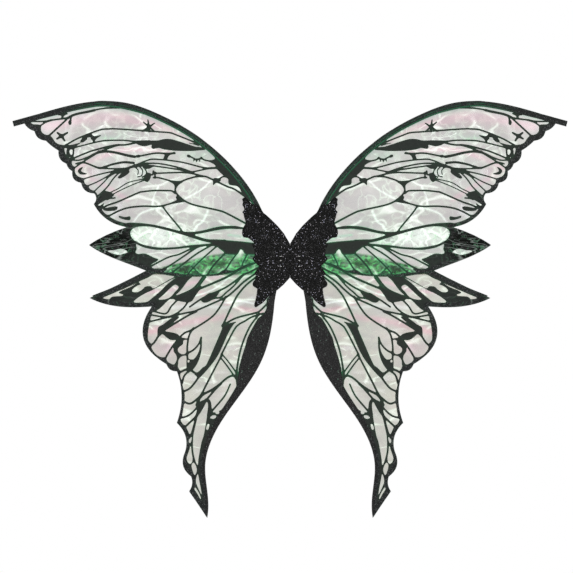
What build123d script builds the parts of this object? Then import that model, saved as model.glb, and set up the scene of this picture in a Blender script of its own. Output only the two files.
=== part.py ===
from build123d import *
import os
from math import radians, tan

# A pair of fairy wings, worn on the back and held on by two elastic arm loops.
#
# Frame: +X to the viewer's right, +Z up, and the display face looks along -Y.  The origin is
# the centre of the back pad's rear face, the face that lies against the wearer.
#
# Each wing is two sheets of clear film with a printed vein skin on each.  Wire rods in sewn
# sleeves stiffen their edges, and the rods end in a holder between two glitter foam panels.
# The panels of the two wings meet at a narrow spine, and each wing folds forward about it.
# Every piece of the right wing is drawn at +X, and the left wing is its mirror image.

# Thicknesses, front to back
PANEL_FRONT = 2.0
SKIN = 0.3
FILM = 0.3
SHEET_GAP = 0.1
PANEL_BACK = 1.7
RUN_GAP = 0.3
PLATE = 2.0
PAD = 6.0

# Rods, the sleeves round them and the holder
UPPER_ROD = 2.4
LOWER_ROD = 1.8
ROD_BACKSET = 1.3
SLEEVE_WALL = 0.3
BORE_GAP = 0.4
UPPER_SLEEVE = 9.5
LOWER_SLEEVE = 6.5
BAND = 0.6
HOLDER_INNER = 9.0
HOLDER_OUTER = 28.0
HOLDER_BOTTOM = -30.0
HOLDER_TOP = 38.0

# Fold lines, the pad and the plate behind the spine
FOLD_X = 7.0
FOLD_GAP = 0.3
CORE_HALF = 6.3
PAD_HALF = 24.0
PAD_BOTTOM = -20.0
PAD_TOP = 24.0
PAD_CORNER = 8.0

# Rivets and stitches
RIVET_SHANK = 2.8
RIVET_HEAD = 6.0
RIVET_HEAD_DEPTH = 0.8
RIVET_GAP = 0.1
RIVETS = [(24, 20), (12.5, -8), (13, 32)]
TOP_CENTRE = (Align.CENTER, Align.CENTER, Align.MAX)
STITCH_X = 15.0
STITCH_HEIGHTS = [7.6, 1.0, -9.0]
STITCH = (3.0, 0.8, 0.5)

# Arm loops: flat elastic, in a plane at STRAP_X from the spine
STRAP_X = 39.0
STRAP_WIDTH = 18.0
STRAP_THICK = 1.2
STRAP_REACH = 95.0
PATCH = (20.0, 14.0, 0.8)
PATCH_HEIGHTS = [34.0, -24.0]
SLIDER_CLEAR = 0.4
SLIDER_BAR = 1.2
SLIDER_SIDE = 2.4
SLIDER_HEIGHT = 14.0
SLIDER_BAR_HEIGHT = 2.6

# Layers along Y, from the wearer to the display face: each value is a piece's rear face
PAD_REAR = 0.0
PLATE_REAR = PAD_REAR - PAD
PANEL_BACK_REAR = PLATE_REAR - PLATE - RUN_GAP
ROD_Y = PANEL_BACK_REAR - PANEL_BACK - ROD_BACKSET
LOWER_FILM_REAR = ROD_Y - LOWER_ROD / 2 - SLEEVE_WALL
LOWER_SKIN_REAR = LOWER_FILM_REAR - FILM
UPPER_FILM_REAR = LOWER_SKIN_REAR - SKIN - SHEET_GAP
UPPER_SKIN_REAR = UPPER_FILM_REAR - FILM
PANEL_FRONT_REAR = UPPER_SKIN_REAR - SKIN
FRONT_FACE = PANEL_FRONT_REAR - PANEL_FRONT

# Outline of one front panel: outer edge from the fold line up to the leading edge, then down
# the ragged inner edge with its torn points
PANEL_UP = [(15, 51), (20, 57), (30, 67), (44, 79.5), (50, 90), (62, 92), (72, 100), (75, 98)]
PANEL_DOWN = [
    (77.5, 91), (75, 82), (78, 79), (74.5, 70), (72.5, 64), (74, 55), (77.5, 51), (78, 44),
    (76, 38.5), (68, 38), (57, 29), (57, 10), (60, 0), (50, -9), (57, -20), (55, -28),
    (61, -36), (60, -41), (53, -45), (55, -58), (58, -73), (56, -75), (47, -70), (35, -58),
    (23, -49), (20, -47),
]
SPINE_TOP = 28.0
SPINE_BOTTOM = -27.0
EDGE_TOP = 40.5
EDGE_BOTTOM = -35.0

# The back panel and the plate are plain shapes that stay behind the front panel
BACK_PANEL = [
    (9, 40), (16, 50), (30, 63.5), (44, 75), (56, 86), (70, 92), (71, 62), (71, 42), (54, 29),
    (54, 2), (46, -9), (53, -20), (52, -38), (50, -60), (48, -66), (35, -55), (24, -46),
    (19, -43), (9, -33),
]
PLATE_HALF = [(9, 37), (20, 50), (30, 60), (42, 70), (48, 70), (48, -60), (42, -58), (32, -51),
              (21, -43), (9, -32)]
PLATE_NOTCH_TOP = 25.0
PLATE_NOTCH_BOTTOM = -22.0

# Upper sheet: root, leading edge, square tip, scalloped edge, notch, middle lobe
UPPER_ROOT = [(30, -2), (30, 60)]
UPPER_LEADING = [
    (43, 76), (60, 110), (80, 138), (111, 171.5), (145, 199.5), (178, 221), (213, 238.7),
    (262.5, 256.4), (314.5, 259.7), (392.4, 244), (450, 227),
]
UPPER_TIP = [(450, 227), (449, 219.6), (432, 224)]
UPPER_SCALLOPS = [
    [(432, 224), (426, 216.5), (415, 211)],
    [(415, 211), (410, 201), (396, 195)],
    [(396, 195), (386, 186), (375.5, 179)],
    [(375.5, 179), (372, 164), (363, 158)],
    [(363, 158), (358, 149), (353.5, 146)],
    [(353.5, 146), (351, 133), (339, 127)],
    [(339, 127), (334, 116), (317.5, 109.5)],
    [(317.5, 109.5), (314.5, 101), (318.5, 92.5)],
    [(318.5, 92.5), (303, 72), (265, 55)],
]
LOBE_TOP = [(265, 55), (290, 46), (327, 26)]
LOBE_BOTTOM = [(327, 26), (299.5, 10), (258, -6.5), (229, -18)]
LOBE_RETURN = [(229, -18), (184, -25.5), (118, -23.7), (89, -18), (60, -4), (30, -2)]

# Lower sheet: root, top edge, second point, three scallops, tail, dark inner edge
LOWER_ROOT = [(30, -40), (30, 14)]
LOWER_TOP = [(30, 14), (110, 6), (200, -8), (233, -15)]
POINT_TOP = [(233, -15), (288, -42.6), (326, -60)]
POINT_BOTTOM = [(326, -60), (300, -70), (241, -75), (225, -74)]
LOWER_SCALLOPS = [
    [(225, -74), (239, -121), (200.5, -167.5)],
    [(200.5, -167.5), (194, -176.5), (183.5, -179)],
    [(183.5, -179), (176, -221), (184, -263)],
    [(184, -263), (168.7, -290), (170.7, -310.5)],
    [(170.7, -310.5), (173.4, -333), (160.5, -350)],
    [(160.5, -350), (159, -362), (164, -374)],
]
TAIL_TIP = [(164, -374), (146, -400), (134.4, -417.6)]
TAIL_INNER = [
    (134.4, -417.6), (132.6, -392), (137.5, -329.5), (123, -281), (93, -234), (68, -199.5),
    (49.5, -169), (37.7, -140), (28.8, -100), (24, -52),
]
BAND_INNER = [
    (36, -62), (38.5, -81), (52, -95.5), (66.5, -122), (77, -154.5), (84, -199), (100, -224),
    (114, -243), (129, -260), (137, -285), (146, -306), (150, -331), (144, -365), (143, -392),
]

# Clear windows in the printed skins, inside their dark borders
UPPER_WINDOWS = [
    [(74, 108), (80, 121), (133, 178), (178, 212), (240, 240), (295, 250), (360, 242), (409, 230),
     (412, 221), (404, 209), (388, 198), (374, 187), (364, 173), (357, 163), (350, 151),
     (344, 138), (331, 123), (316, 116), (308, 104), (307, 93), (300, 82), (285, 72), (264, 61),
     (236, 61), (203, 55), (162, 48), (121, 56), (71, 55)],
    [(71, 50), (121, 50), (149, 43), (174, 42), (203, 49), (236, 55), (253, 51), (256, 43),
     (250, 33), (222, 23), (184, 22.5), (140, 27), (118, 35), (54, 31)],
    [(52, 9), (75, 7), (104, 10), (112, 20), (131, 21), (159, 20), (199, 7), (228, -8),
     (225, -14), (199, -19), (150, -22), (118, -20.5), (108, -16), (89, -15), (74, -7), (52, 0)],
    [(266, 12), (280, 20), (296, 17), (284, 10)],
]
LOWER_WINDOWS = [
    [(33, 11), (110, 3), (200, -11), (222, -17), (223, -26), (246, -36), (279, -49), (303, -60),
     (270, -67), (241, -68), (218, -67), (217, -78), (226, -92), (230, -110), (231, -128),
     (226, -142), (215, -153), (196, -158), (190, -167), (176, -171), (172, -205), (168, -228),
     (172, -256), (161, -282), (161, -300), (166, -325), (152, -346), (151, -366), (155, -374),
     (147, -388), (144, -365), (150, -331), (144, -295), (137, -265), (131, -236), (114, -243),
     (100, -224), (84, -199), (77, -154.5), (66.5, -122), (52, -95.5), (38.5, -81), (36, -58)],
]

# Veins: a width, then the points along the middle
UPPER_VEINS = [
    (3, [(66, 59), (89, 70), (119, 83), (160, 92.5), (186, 115), (178, 128), (157, 136)]),
    (3, [(66, 99), (89, 116), (124.5, 132), (155.5, 141), (222, 143)]),
    (4, [(95, 133), (121.5, 151.5), (160, 157), (219, 165.5), (248, 171), (311, 176)]),
    (3, [(121.5, 151), (160, 145), (185, 153), (240, 156)]),
    (3, [(186, 114), (222, 114.5), (246, 111), (279, 96.5), (308, 86)]),
    (3, [(170, 97.5), (192, 95), (213, 89), (262.5, 86.5), (305, 72)]),
    (3, [(210, 90), (192, 69), (168, 45)]),
    (3, [(176, 128), (200, 132), (240, 133), (279, 117.5), (312, 98)]),
    (3, [(230, 261), (295, 248), (344, 239.5), (365, 228), (398, 200)]),
    (3, [(337, 243), (384, 229.5), (418, 226)]),
    (3, [(136, 190), (185, 205), (240, 211.5), (311, 212.5), (344, 199.5), (372, 184)]),
    (8, [(130, 172), (160, 183), (198, 190), (225, 185.5)]),
    (3, [(220, 190), (254, 194.7), (295, 196), (344, 186), (366, 178)]),
    (3, [(250, 195), (287, 188), (319, 180), (356, 164)]),
    (3, [(262, 174), (300, 181), (327.5, 169.5), (352, 160)]),
    (3, [(262, 172), (254, 159), (287, 157.5), (321, 155), (352, 158)]),
    (3, [(236, 156), (262.5, 151.5), (311, 151), (350, 142)]),
    (3, [(262, 150), (314.5, 139.5), (340, 131)]),
    (3, [(270, 146), (303, 127.5), (326, 112)]),
    (3, [(180, 176), (207, 165)]),
    (6, [(290, 106), (310, 110), (320, 100)]),
    (3, [(68, 12), (72, 7), (77, -12)]),
    (3, [(86, 14), (96, -1), (112, -20)]),
    (3, [(104, 16), (127, -11), (134, -24)]),
    (3, [(112, 26), (142, 3.5), (156, -24)]),
    (3, [(130, 26), (169.5, -1), (192, -23)]),
    (3, [(150, 24), (184, 0), (208, -20)]),
    (3, [(158, 23), (199, 5.5), (235, -14)]),
]
LOWER_VEINS = [
    (3, [(40, 4), (81, -13), (125.5, -36), (170, -53), (235, -76)]),
    (3, [(40, -4), (88.5, -32), (133, -55.5), (188, -74), (232, -80)]),
    (3, [(40, -12), (74, -33), (103.5, -58.5), (148, -77.5), (204, -92.5), (234, -98)]),
    (3, [(40, -16), (81, -50), (97.5, -80), (109, -107)]),
    (3, [(81, -36), (103.5, -51), (133, -59)]),
    (14, [(148, -44), (170, -62), (200, -66), (236, -78)]),
    (10, [(126, -34), (150, -27), (185, -31), (216, -46), (232, -64)]),
    (10, [(205, -17), (238, -40), (280, -54), (312, -63)]),
    (3, [(30, -68), (59, -85), (100.5, -99), (109, -104)]),
    (3, [(51, -87), (74, -98), (100.5, -129.5), (113, -157)]),
    (3, [(51, -87), (74, -125), (87, -181), (88, -196)]),
    (6, [(96, -101), (109, -120), (125, -158), (148, -184)]),
    (3, [(88, -190), (113, -153), (134, -197), (152, -225), (174, -232)]),
    (3, [(74, -184), (96, -187), (123.5, -211), (152, -252), (178, -274)]),
    (3, [(96, -200), (115, -230), (135, -250)]),
    (4, [(146, -218), (152, -252), (158, -290), (152, -336)]),
    (3, [(150, -237), (167, -252), (184, -255)]),
    (3, [(104, -58), (129, -92.5), (171.5, -117), (202, -162)]),
    (3, [(158, -109), (167, -140), (165, -178), (184, -190)]),
    (3, [(130, -75), (170, -91), (204, -113.5), (232, -136)]),
    (9, [(150, -125), (152, -150), (160, -176)]),
    (5, [(166, -128), (188, -141), (184, -172)]),
    (4, [(148, -186), (163, -207), (176, -213)]),
    (4, [(148, -186), (165, -177), (184, -186)]),
]

# Rods, from the holder outward
UPPER_ROD_PATH = [
    (14, 22), (36, 58), (49.5, 80), (64.2, 107.3), (84, 135), (106.2, 159.7), (135.1, 186.1),
    (162.7, 206.3), (197.8, 226), (241.5, 244.5), (295, 255), (333.2, 252.4), (391, 239.2),
    (447, 224),
]
LOWER_ROD_PATH = [
    (11, 8.5), (55, -4), (98, -17), (150, -22.5), (200, -19), (233, -20.5), (262, -33.5),
    (290, -47), (320, -59),
]
TAIL_ROD_PATH = [
    (18, -14), (27, -58), (31.5, -90), (37.5, -120), (47, -150), (64, -185), (84, -215),
    (107, -245), (126, -276), (138, -305), (142, -330), (139.5, -360), (136.5, -394),
]
UPPER_SLEEVE_START = 1
LOWER_SLEEVE_START = 1


def face(*edges):
    """A flat face in the wings' plane, from edges in x and z that meet end to end."""
    return Plane.XZ * make_face(Curve() + list(edges))


def polygon(points):
    """A flat face with straight sides."""
    return face(Polyline(*points, close=True))


def slab(shape, rear, thickness):
    """A solid with its rear face at y = rear, standing forward by its thickness."""
    return Pos(0, rear, 0) * extrude(shape, amount=thickness)


def mirrored(shape):
    """The left wing's copy of a right-hand piece."""
    return mirror(shape, about=Plane.YZ)


def bend_radii(points):
    """Arc radii that let each bend of a path take up 0.45 of the shorter run beside it."""
    radii = []
    for before, corner, after in zip(points, points[1:], points[2:]):
        arriving = Vector(*corner) - Vector(*before)
        leaving = Vector(*after) - Vector(*corner)
        shorter = min(arriving.length, leaving.length)
        radii.append(0.45 * shorter / tan(radians(arriving.get_angle(leaving) / 2)))
    return radii


def soft_path(points, plane):
    """Straight runs joined by tangent arcs."""
    return plane * FilletPolyline(*points, radius=bend_radii(points))


def rod_path(points):
    """A rod's centre line, in the plane of the rods."""
    return soft_path(points, Plane.XZ.offset(-ROD_Y))


def section_plane(path):
    """The plane across the start of a path, with its x axis along Y."""
    return Plane(origin=path @ 0, x_dir=(0, 1, 0), z_dir=path % 0)


def rod(points, diameter):
    """A round wire."""
    path = rod_path(points)
    return sweep(section_plane(path) * Circle(diameter / 2), path=path)


def sleeve(points, rod_diameter, width, front, back):
    """A flat sewn sleeve round a rod, from y = front to y = back, with the rod's bore."""
    path = rod_path(points)
    body = Pos((front + back) / 2 - ROD_Y, 0) * Rectangle(back - front, width)
    bore = Circle((rod_diameter + BORE_GAP) / 2)
    return sweep(section_plane(path) * (body - bore), path=path)


def panel_outline():
    """The front panel, from the fold line outwards."""
    start = FOLD_X + FOLD_GAP
    return polygon([(start, EDGE_BOTTOM), (start, EDGE_TOP)] + PANEL_UP + PANEL_DOWN)


def upper_outline():
    """The whole upper sheet."""
    scallops = [Spline(*points) for points in UPPER_SCALLOPS]
    return face(
        Polyline(*UPPER_ROOT, UPPER_LEADING[0]), Spline(*UPPER_LEADING), Polyline(*UPPER_TIP),
        *scallops, Spline(*LOBE_TOP), Spline(*LOBE_BOTTOM), Polyline(*LOBE_RETURN),
    )


def lower_outline():
    """The whole lower sheet."""
    scallops = [Spline(*points) for points in LOWER_SCALLOPS]
    return face(
        Line(*LOWER_ROOT), Spline(*LOWER_TOP), Spline(*POINT_TOP), Spline(*POINT_BOTTOM),
        *scallops, Spline(*TAIL_TIP), Spline(*TAIL_INNER), Line(TAIL_INNER[-1], LOWER_ROOT[0]),
    )


def ribbon(width, points):
    """One vein: a strip of even width along straight runs, with mitred bends."""
    runs = [Vector(*b) - Vector(*a) for a, b in zip(points, points[1:])]
    sides = [Vector(-run.Y, run.X).normalized() for run in runs]
    left = []
    right = []
    for index, point in enumerate(points):
        before = sides[max(index - 1, 0)]
        after = sides[min(index, len(sides) - 1)]
        mitre = (before + after).normalized()
        reach = mitre * (width / 2 / mitre.dot(after))
        left.append(Vector(*point) + reach)
        right.append(Vector(*point) - reach)
    return polygon(left + right[::-1])


def printed_skin(outline, windows, veins):
    """The dark print: a border round clear windows, and the veins that cross them."""
    border = outline
    for window in windows:
        border -= polygon(window)
    drawn = border + [ribbon(width, points) for width, points in veins]
    return drawn & outline


def tail_band():
    """The broad glitter band down the lower wing's inner edge."""
    return face(Spline(*TAIL_INNER), Polyline(TAIL_INNER[-1], *BAND_INNER, TAIL_INNER[0]))


def rivet(x, z):
    """A flat-headed rivet through the back panel and the holder."""
    depth = PANEL_BACK_REAR - (UPPER_FILM_REAR + RIVET_GAP)
    shank = Cylinder(RIVET_SHANK / 2, depth - RIVET_HEAD_DEPTH, align=TOP_CENTRE)
    head = Cylinder(RIVET_HEAD / 2, RIVET_HEAD_DEPTH, align=TOP_CENTRE)
    aim = Plane(origin=(x, PANEL_BACK_REAR, z), z_dir=(0, 1, 0))
    return aim * (head + Pos(0, 0, -RIVET_HEAD_DEPTH) * shank)


def rivet_hole(x, z):
    """The rivet's hole and counterbore."""
    full = PANEL_BACK_REAR - FRONT_FACE - PANEL_FRONT
    shank = Cylinder(RIVET_SHANK / 2 + RIVET_GAP, full, align=TOP_CENTRE)
    head = Cylinder(RIVET_HEAD / 2 + RIVET_GAP, RIVET_HEAD_DEPTH, align=TOP_CENTRE)
    aim = Plane(origin=(x, PANEL_BACK_REAR, z), z_dir=(0, 1, 0))
    return aim * (head + shank)


def rod_holder(paths):
    """The moulded block that clamps the three rods' ends between the panels."""
    back = PANEL_BACK_REAR - PANEL_BACK
    front = UPPER_FILM_REAR
    width = HOLDER_OUTER - HOLDER_INNER
    height = HOLDER_TOP - HOLDER_BOTTOM
    block = Pos(HOLDER_INNER, front, HOLDER_BOTTOM) * Box(
        width, back - front, height, align=(Align.MIN, Align.MIN, Align.MIN)
    )
    for points, diameter in paths:
        block -= rod(points[:3], diameter + BORE_GAP)
    for x, z in RIVETS:
        block -= rivet_hole(x, z)
    return block


def wing():
    """Every piece of the right wing, by name."""
    back_panel = slab(polygon(BACK_PANEL), PANEL_BACK_REAR, PANEL_BACK)
    for x, z in RIVETS:
        back_panel -= rivet_hole(x, z)
    stitch_at = [Pos(STITCH_X, FRONT_FACE, z) for z in STITCH_HEIGHTS]
    stitch = Box(STITCH[0], STITCH[2], STITCH[1], align=(Align.CENTER, Align.MAX, Align.CENTER))
    upper = upper_outline()
    lower = lower_outline()
    lower_back = ROD_Y + LOWER_ROD / 2 + SLEEVE_WALL
    rods = [(UPPER_ROD_PATH, UPPER_ROD), (LOWER_ROD_PATH, LOWER_ROD), (TAIL_ROD_PATH, LOWER_ROD)]
    sleeve_paths = [
        UPPER_ROD_PATH[UPPER_SLEEVE_START:],
        LOWER_ROD_PATH[LOWER_SLEEVE_START:],
        TAIL_ROD_PATH[LOWER_SLEEVE_START:],
    ]
    return {
        "front_panel": slab(panel_outline(), PANEL_FRONT_REAR, PANEL_FRONT),
        "back_panel": back_panel,
        "rod_holder": rod_holder(rods),
        "rivets": Compound([rivet(x, z) for x, z in RIVETS]),
        "root_stitches": Compound([place * stitch for place in stitch_at]),
        "upper_film": slab(upper, UPPER_FILM_REAR, FILM),
        "upper_veins": slab(
            printed_skin(upper, UPPER_WINDOWS, UPPER_VEINS), UPPER_SKIN_REAR, SKIN
        ),
        "upper_rod": rod(UPPER_ROD_PATH, UPPER_ROD),
        "upper_sleeve": sleeve(
            sleeve_paths[0], UPPER_ROD, UPPER_SLEEVE, UPPER_FILM_REAR, PANEL_BACK_REAR - PANEL_BACK
        ),
        "lower_film": slab(lower, LOWER_FILM_REAR, FILM),
        "lower_veins": slab(
            printed_skin(lower, LOWER_WINDOWS, LOWER_VEINS), LOWER_SKIN_REAR, SKIN
        ),
        "lower_rod": rod(LOWER_ROD_PATH, LOWER_ROD),
        "lower_sleeve": sleeve(
            sleeve_paths[1], LOWER_ROD, LOWER_SLEEVE, LOWER_FILM_REAR, lower_back
        ),
        "tail_rod": rod(TAIL_ROD_PATH, LOWER_ROD),
        "tail_sleeve": sleeve(
            sleeve_paths[2], LOWER_ROD, LOWER_SLEEVE, LOWER_FILM_REAR, lower_back
        ),
        "tail_band": slab(tail_band(), LOWER_SKIN_REAR - SKIN, BAND),
    }


def across_spine(half, top, bottom):
    """A polygon that is the same on both sides, with a notch above and below."""
    left = [(-x, z) for x, z in reversed(half)]
    return polygon([(0, top)] + half + [(0, bottom)] + left)


def arm_loop():
    """One arm loop's flat elastic, drawn in the plane at STRAP_X."""
    rear = PLATE_REAR + STRAP_THICK / 2
    route = [
        (rear, 26), (rear, 56), (32, 66), (72, 58), (STRAP_REACH, 34), (STRAP_REACH, -30),
        (72, -50), (30, -55), (rear, -44), (rear, -16),
    ]
    path = soft_path(route, Plane.YZ.offset(STRAP_X))
    across = Plane(origin=path @ 0, x_dir=(1, 0, 0), z_dir=path % 0)
    return sweep(across * Rectangle(STRAP_WIDTH, STRAP_THICK), path=path)


def patches():
    """The two sewn patches that hold an arm loop's ends on the plate."""
    width, height, thick = PATCH
    patch = Box(width, thick, height, align=(Align.CENTER, Align.MIN, Align.CENTER))
    rear = PLATE_REAR + STRAP_THICK
    return Compound([Pos(STRAP_X, rear, z) * patch for z in PATCH_HEIGHTS])


def strap_slider():
    """A three-bar slide on the straight outer run of an arm loop."""
    inner = STRAP_THICK / 2 + SLIDER_CLEAR
    depth = 2 * (inner + SLIDER_BAR)
    opening = STRAP_WIDTH + 2 * SLIDER_CLEAR
    side = Box(SLIDER_SIDE, depth, SLIDER_HEIGHT)
    bar = Box(opening + SLIDER_SIDE, SLIDER_BAR, SLIDER_BAR_HEIGHT)
    bar_y = inner + SLIDER_BAR / 2
    end_z = (SLIDER_HEIGHT - SLIDER_BAR_HEIGHT) / 2
    frame = Pos(0, bar_y, end_z) * bar + Pos(0, bar_y, -end_z) * bar + Pos(0, -bar_y, 0) * bar
    for way in (-1, 1):
        frame += Pos(way * (opening + SLIDER_SIDE) / 2, 0, 0) * side
    return Pos(STRAP_X, STRAP_REACH, 0) * frame


def spine():
    """The pieces on the centre line, which the wearer's side carries."""
    edge = FOLD_X - FOLD_GAP
    cover = across_spine([(edge, EDGE_TOP), (edge, EDGE_BOTTOM)], SPINE_TOP, SPINE_BOTTOM)
    core_half = [(CORE_HALF, 36), (CORE_HALF, -31)]
    core = across_spine(core_half, PLATE_NOTCH_TOP, PLATE_NOTCH_BOTTOM)
    plate = across_spine(PLATE_HALF, PLATE_NOTCH_TOP, PLATE_NOTCH_BOTTOM)
    pad_middle = (PAD_TOP + PAD_BOTTOM) / 2
    pad = Pos(0, pad_middle) * RectangleRounded(2 * PAD_HALF, PAD_TOP - PAD_BOTTOM, PAD_CORNER)
    plate_front = PLATE_REAR - PLATE
    return {
        "spine_cover": slab(cover, PANEL_FRONT_REAR, PANEL_FRONT),
        "spine_core": slab(core, plate_front, plate_front - PANEL_FRONT_REAR),
        "back_plate": slab(plate, PLATE_REAR, PLATE),
        "back_pad": slab(Plane.XZ * pad, PAD_REAR, PAD),
    }


def harness_side():
    """The arm loop, its patches and its slider, on the right."""
    return {"arm_loop": arm_loop(), "loop_patches": patches(), "loop_slider": strap_slider()}


os.makedirs("parts", exist_ok=True)
for name, shape in spine().items():
    export_step(shape, f"parts/{name}.step")
for name, shape in (wing() | harness_side()).items():
    export_step(shape, f"parts/right_{name}.step")
    export_step(mirrored(shape), f"parts/left_{name}.step")
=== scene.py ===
import bpy
import bmesh
import numpy as np
from math import pi, radians
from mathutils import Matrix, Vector


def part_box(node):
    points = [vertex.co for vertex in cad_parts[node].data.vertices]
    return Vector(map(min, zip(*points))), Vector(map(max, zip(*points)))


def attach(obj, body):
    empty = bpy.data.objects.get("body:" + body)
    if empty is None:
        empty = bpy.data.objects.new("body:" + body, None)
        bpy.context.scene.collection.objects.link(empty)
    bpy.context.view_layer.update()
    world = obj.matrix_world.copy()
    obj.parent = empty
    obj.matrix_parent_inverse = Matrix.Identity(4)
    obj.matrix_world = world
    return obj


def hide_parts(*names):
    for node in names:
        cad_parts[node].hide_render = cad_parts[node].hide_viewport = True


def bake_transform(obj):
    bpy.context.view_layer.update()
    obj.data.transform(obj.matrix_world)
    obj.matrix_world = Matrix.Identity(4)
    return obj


# Fairy wings: crinkled iridescent film with raised dark print, glitter foam at the centre, bound
# leading edges and two elastic arm loops.  Lengths in the tables are millimetres in the frame's
# x and z, for the right wing; the left wing is its mirror image.

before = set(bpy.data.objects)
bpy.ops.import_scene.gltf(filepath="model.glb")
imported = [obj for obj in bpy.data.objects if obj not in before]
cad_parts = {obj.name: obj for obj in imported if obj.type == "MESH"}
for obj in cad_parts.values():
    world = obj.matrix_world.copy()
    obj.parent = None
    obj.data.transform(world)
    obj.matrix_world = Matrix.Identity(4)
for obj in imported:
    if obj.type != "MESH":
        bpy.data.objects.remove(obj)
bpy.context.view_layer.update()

MM = 0.001
SIDES = (("right", 1), ("left", -1))

# Grid spacings for the outlines of the sheets, the glitter cover, the pad and the loops' patches
SHEET_GRID = 1.4
COVER_GRID = 1.5
PAD_GRID = 0.9
PATCH_GRID = 0.8

# Thickness of the raised pieces: at the rim, far from it, and how far in from the rim it grows
PRINT_FRONT = (0.10, 0.40, 0.8)
PRINT_BACK = (0.08, 0.22, 0.8)
BAND_FRONT = (0.45, 0.85, 0.9)
COVER_FRONT = (0.60, 1.95, 1.8)
PATCH_BACK = (0.30, 0.75, 0.9)
PAD_CROWN = (1.2, 5.4, 5)

# Stitches: length, gap and radius
WRAP_STITCH = (2.4, 1.3, 0.24)
ROOT_STITCH = (3.2, 0.6, 0.42)
PAD_STITCH = (2.2, 1.2, 0.24)
PATCH_STITCH = (1.7, 0.7, 0.20)


def box(cad_node):
    """The low and high corners of a CAD node, in millimetres."""
    return [np.round(np.array(corner) / MM, 3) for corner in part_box(cad_node)]


def box_middle(cad_node):
    """The middle of a CAD node's box, in millimetres."""
    return sum(box(cad_node)) / 2


# ---------------------------------------------------------------------------------------------
# Drawing of the wing, in millimetres

# Clear windows of the upper print: main field, root cell, lobe cell, rib zone, lobe tip
UPPER_WINDOWS = [
    [(62, 92), (70, 99), (78, 111), (85, 121), (99, 124.5), (101, 134), (110, 140.5),
     (119, 149.5), (122, 156), (131, 162), (122, 166), (127, 173), (134, 180), (147, 189),
     (178, 212), (207, 227), (240, 240), (262, 248), (295, 251), (334, 248), (409, 230.5),
     (421, 226.5), (418, 222.5), (406, 221), (404, 211), (399, 206), (390, 203.5), (385, 199),
     (381, 193), (375, 189.5), (368, 187.5), (365, 175), (361, 169), (355, 165), (354, 157),
     (350, 152), (349, 144), (345, 138), (336, 134), (333, 126), (327, 121), (325, 117),
     (317, 113), (313, 108), (311, 94), (306, 84), (300, 77), (290, 70), (279, 65), (262, 61),
     (236, 61), (203, 55), (174, 48), (149, 48.5), (121, 55), (106, 57), (88, 57), (62, 54)],
    [(60, 50), (88, 52), (106, 52), (140, 46), (155, 43), (145, 38.5), (133, 35.5), (118, 35),
     (80, 32), (57, 29.5), (54, 31)],
    [(128, 29), (145, 33.5), (189, 47), (221, 55), (236, 56.5), (250, 55), (257, 51), (259.5, 45),
     (257, 38), (251, 32), (240, 27), (222, 23), (206, 21.5), (184, 22.5), (162, 25.5),
     (140, 27)],
    [(121, 24), (140, 24), (206, 18.5), (222, 19), (238, 22.5), (250, 28), (249, 20), (251, 14),
     (247, 11.5), (235, 12), (221, 5.5), (214, 3), (216, 0), (226, -6), (224, -11), (213, -13),
     (203, -11), (200, -14), (205, -18), (190, -19), (170, -21.5), (135, -22), (118, -20),
     (110, -15.5), (103, -14), (95, -15.5), (89, -14.5), (80, -9.5), (66, -3.5), (52, 0), (52, 9),
     (72, 11), (76, 16), (80, 19), (84, 13), (89, 10.5), (104, 11), (108, 15), (115, 20)],
    [(264, 14), (268, 18), (275, 20), (285, 18), (297, 16), (279, 10), (271, 12)],
]

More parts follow.
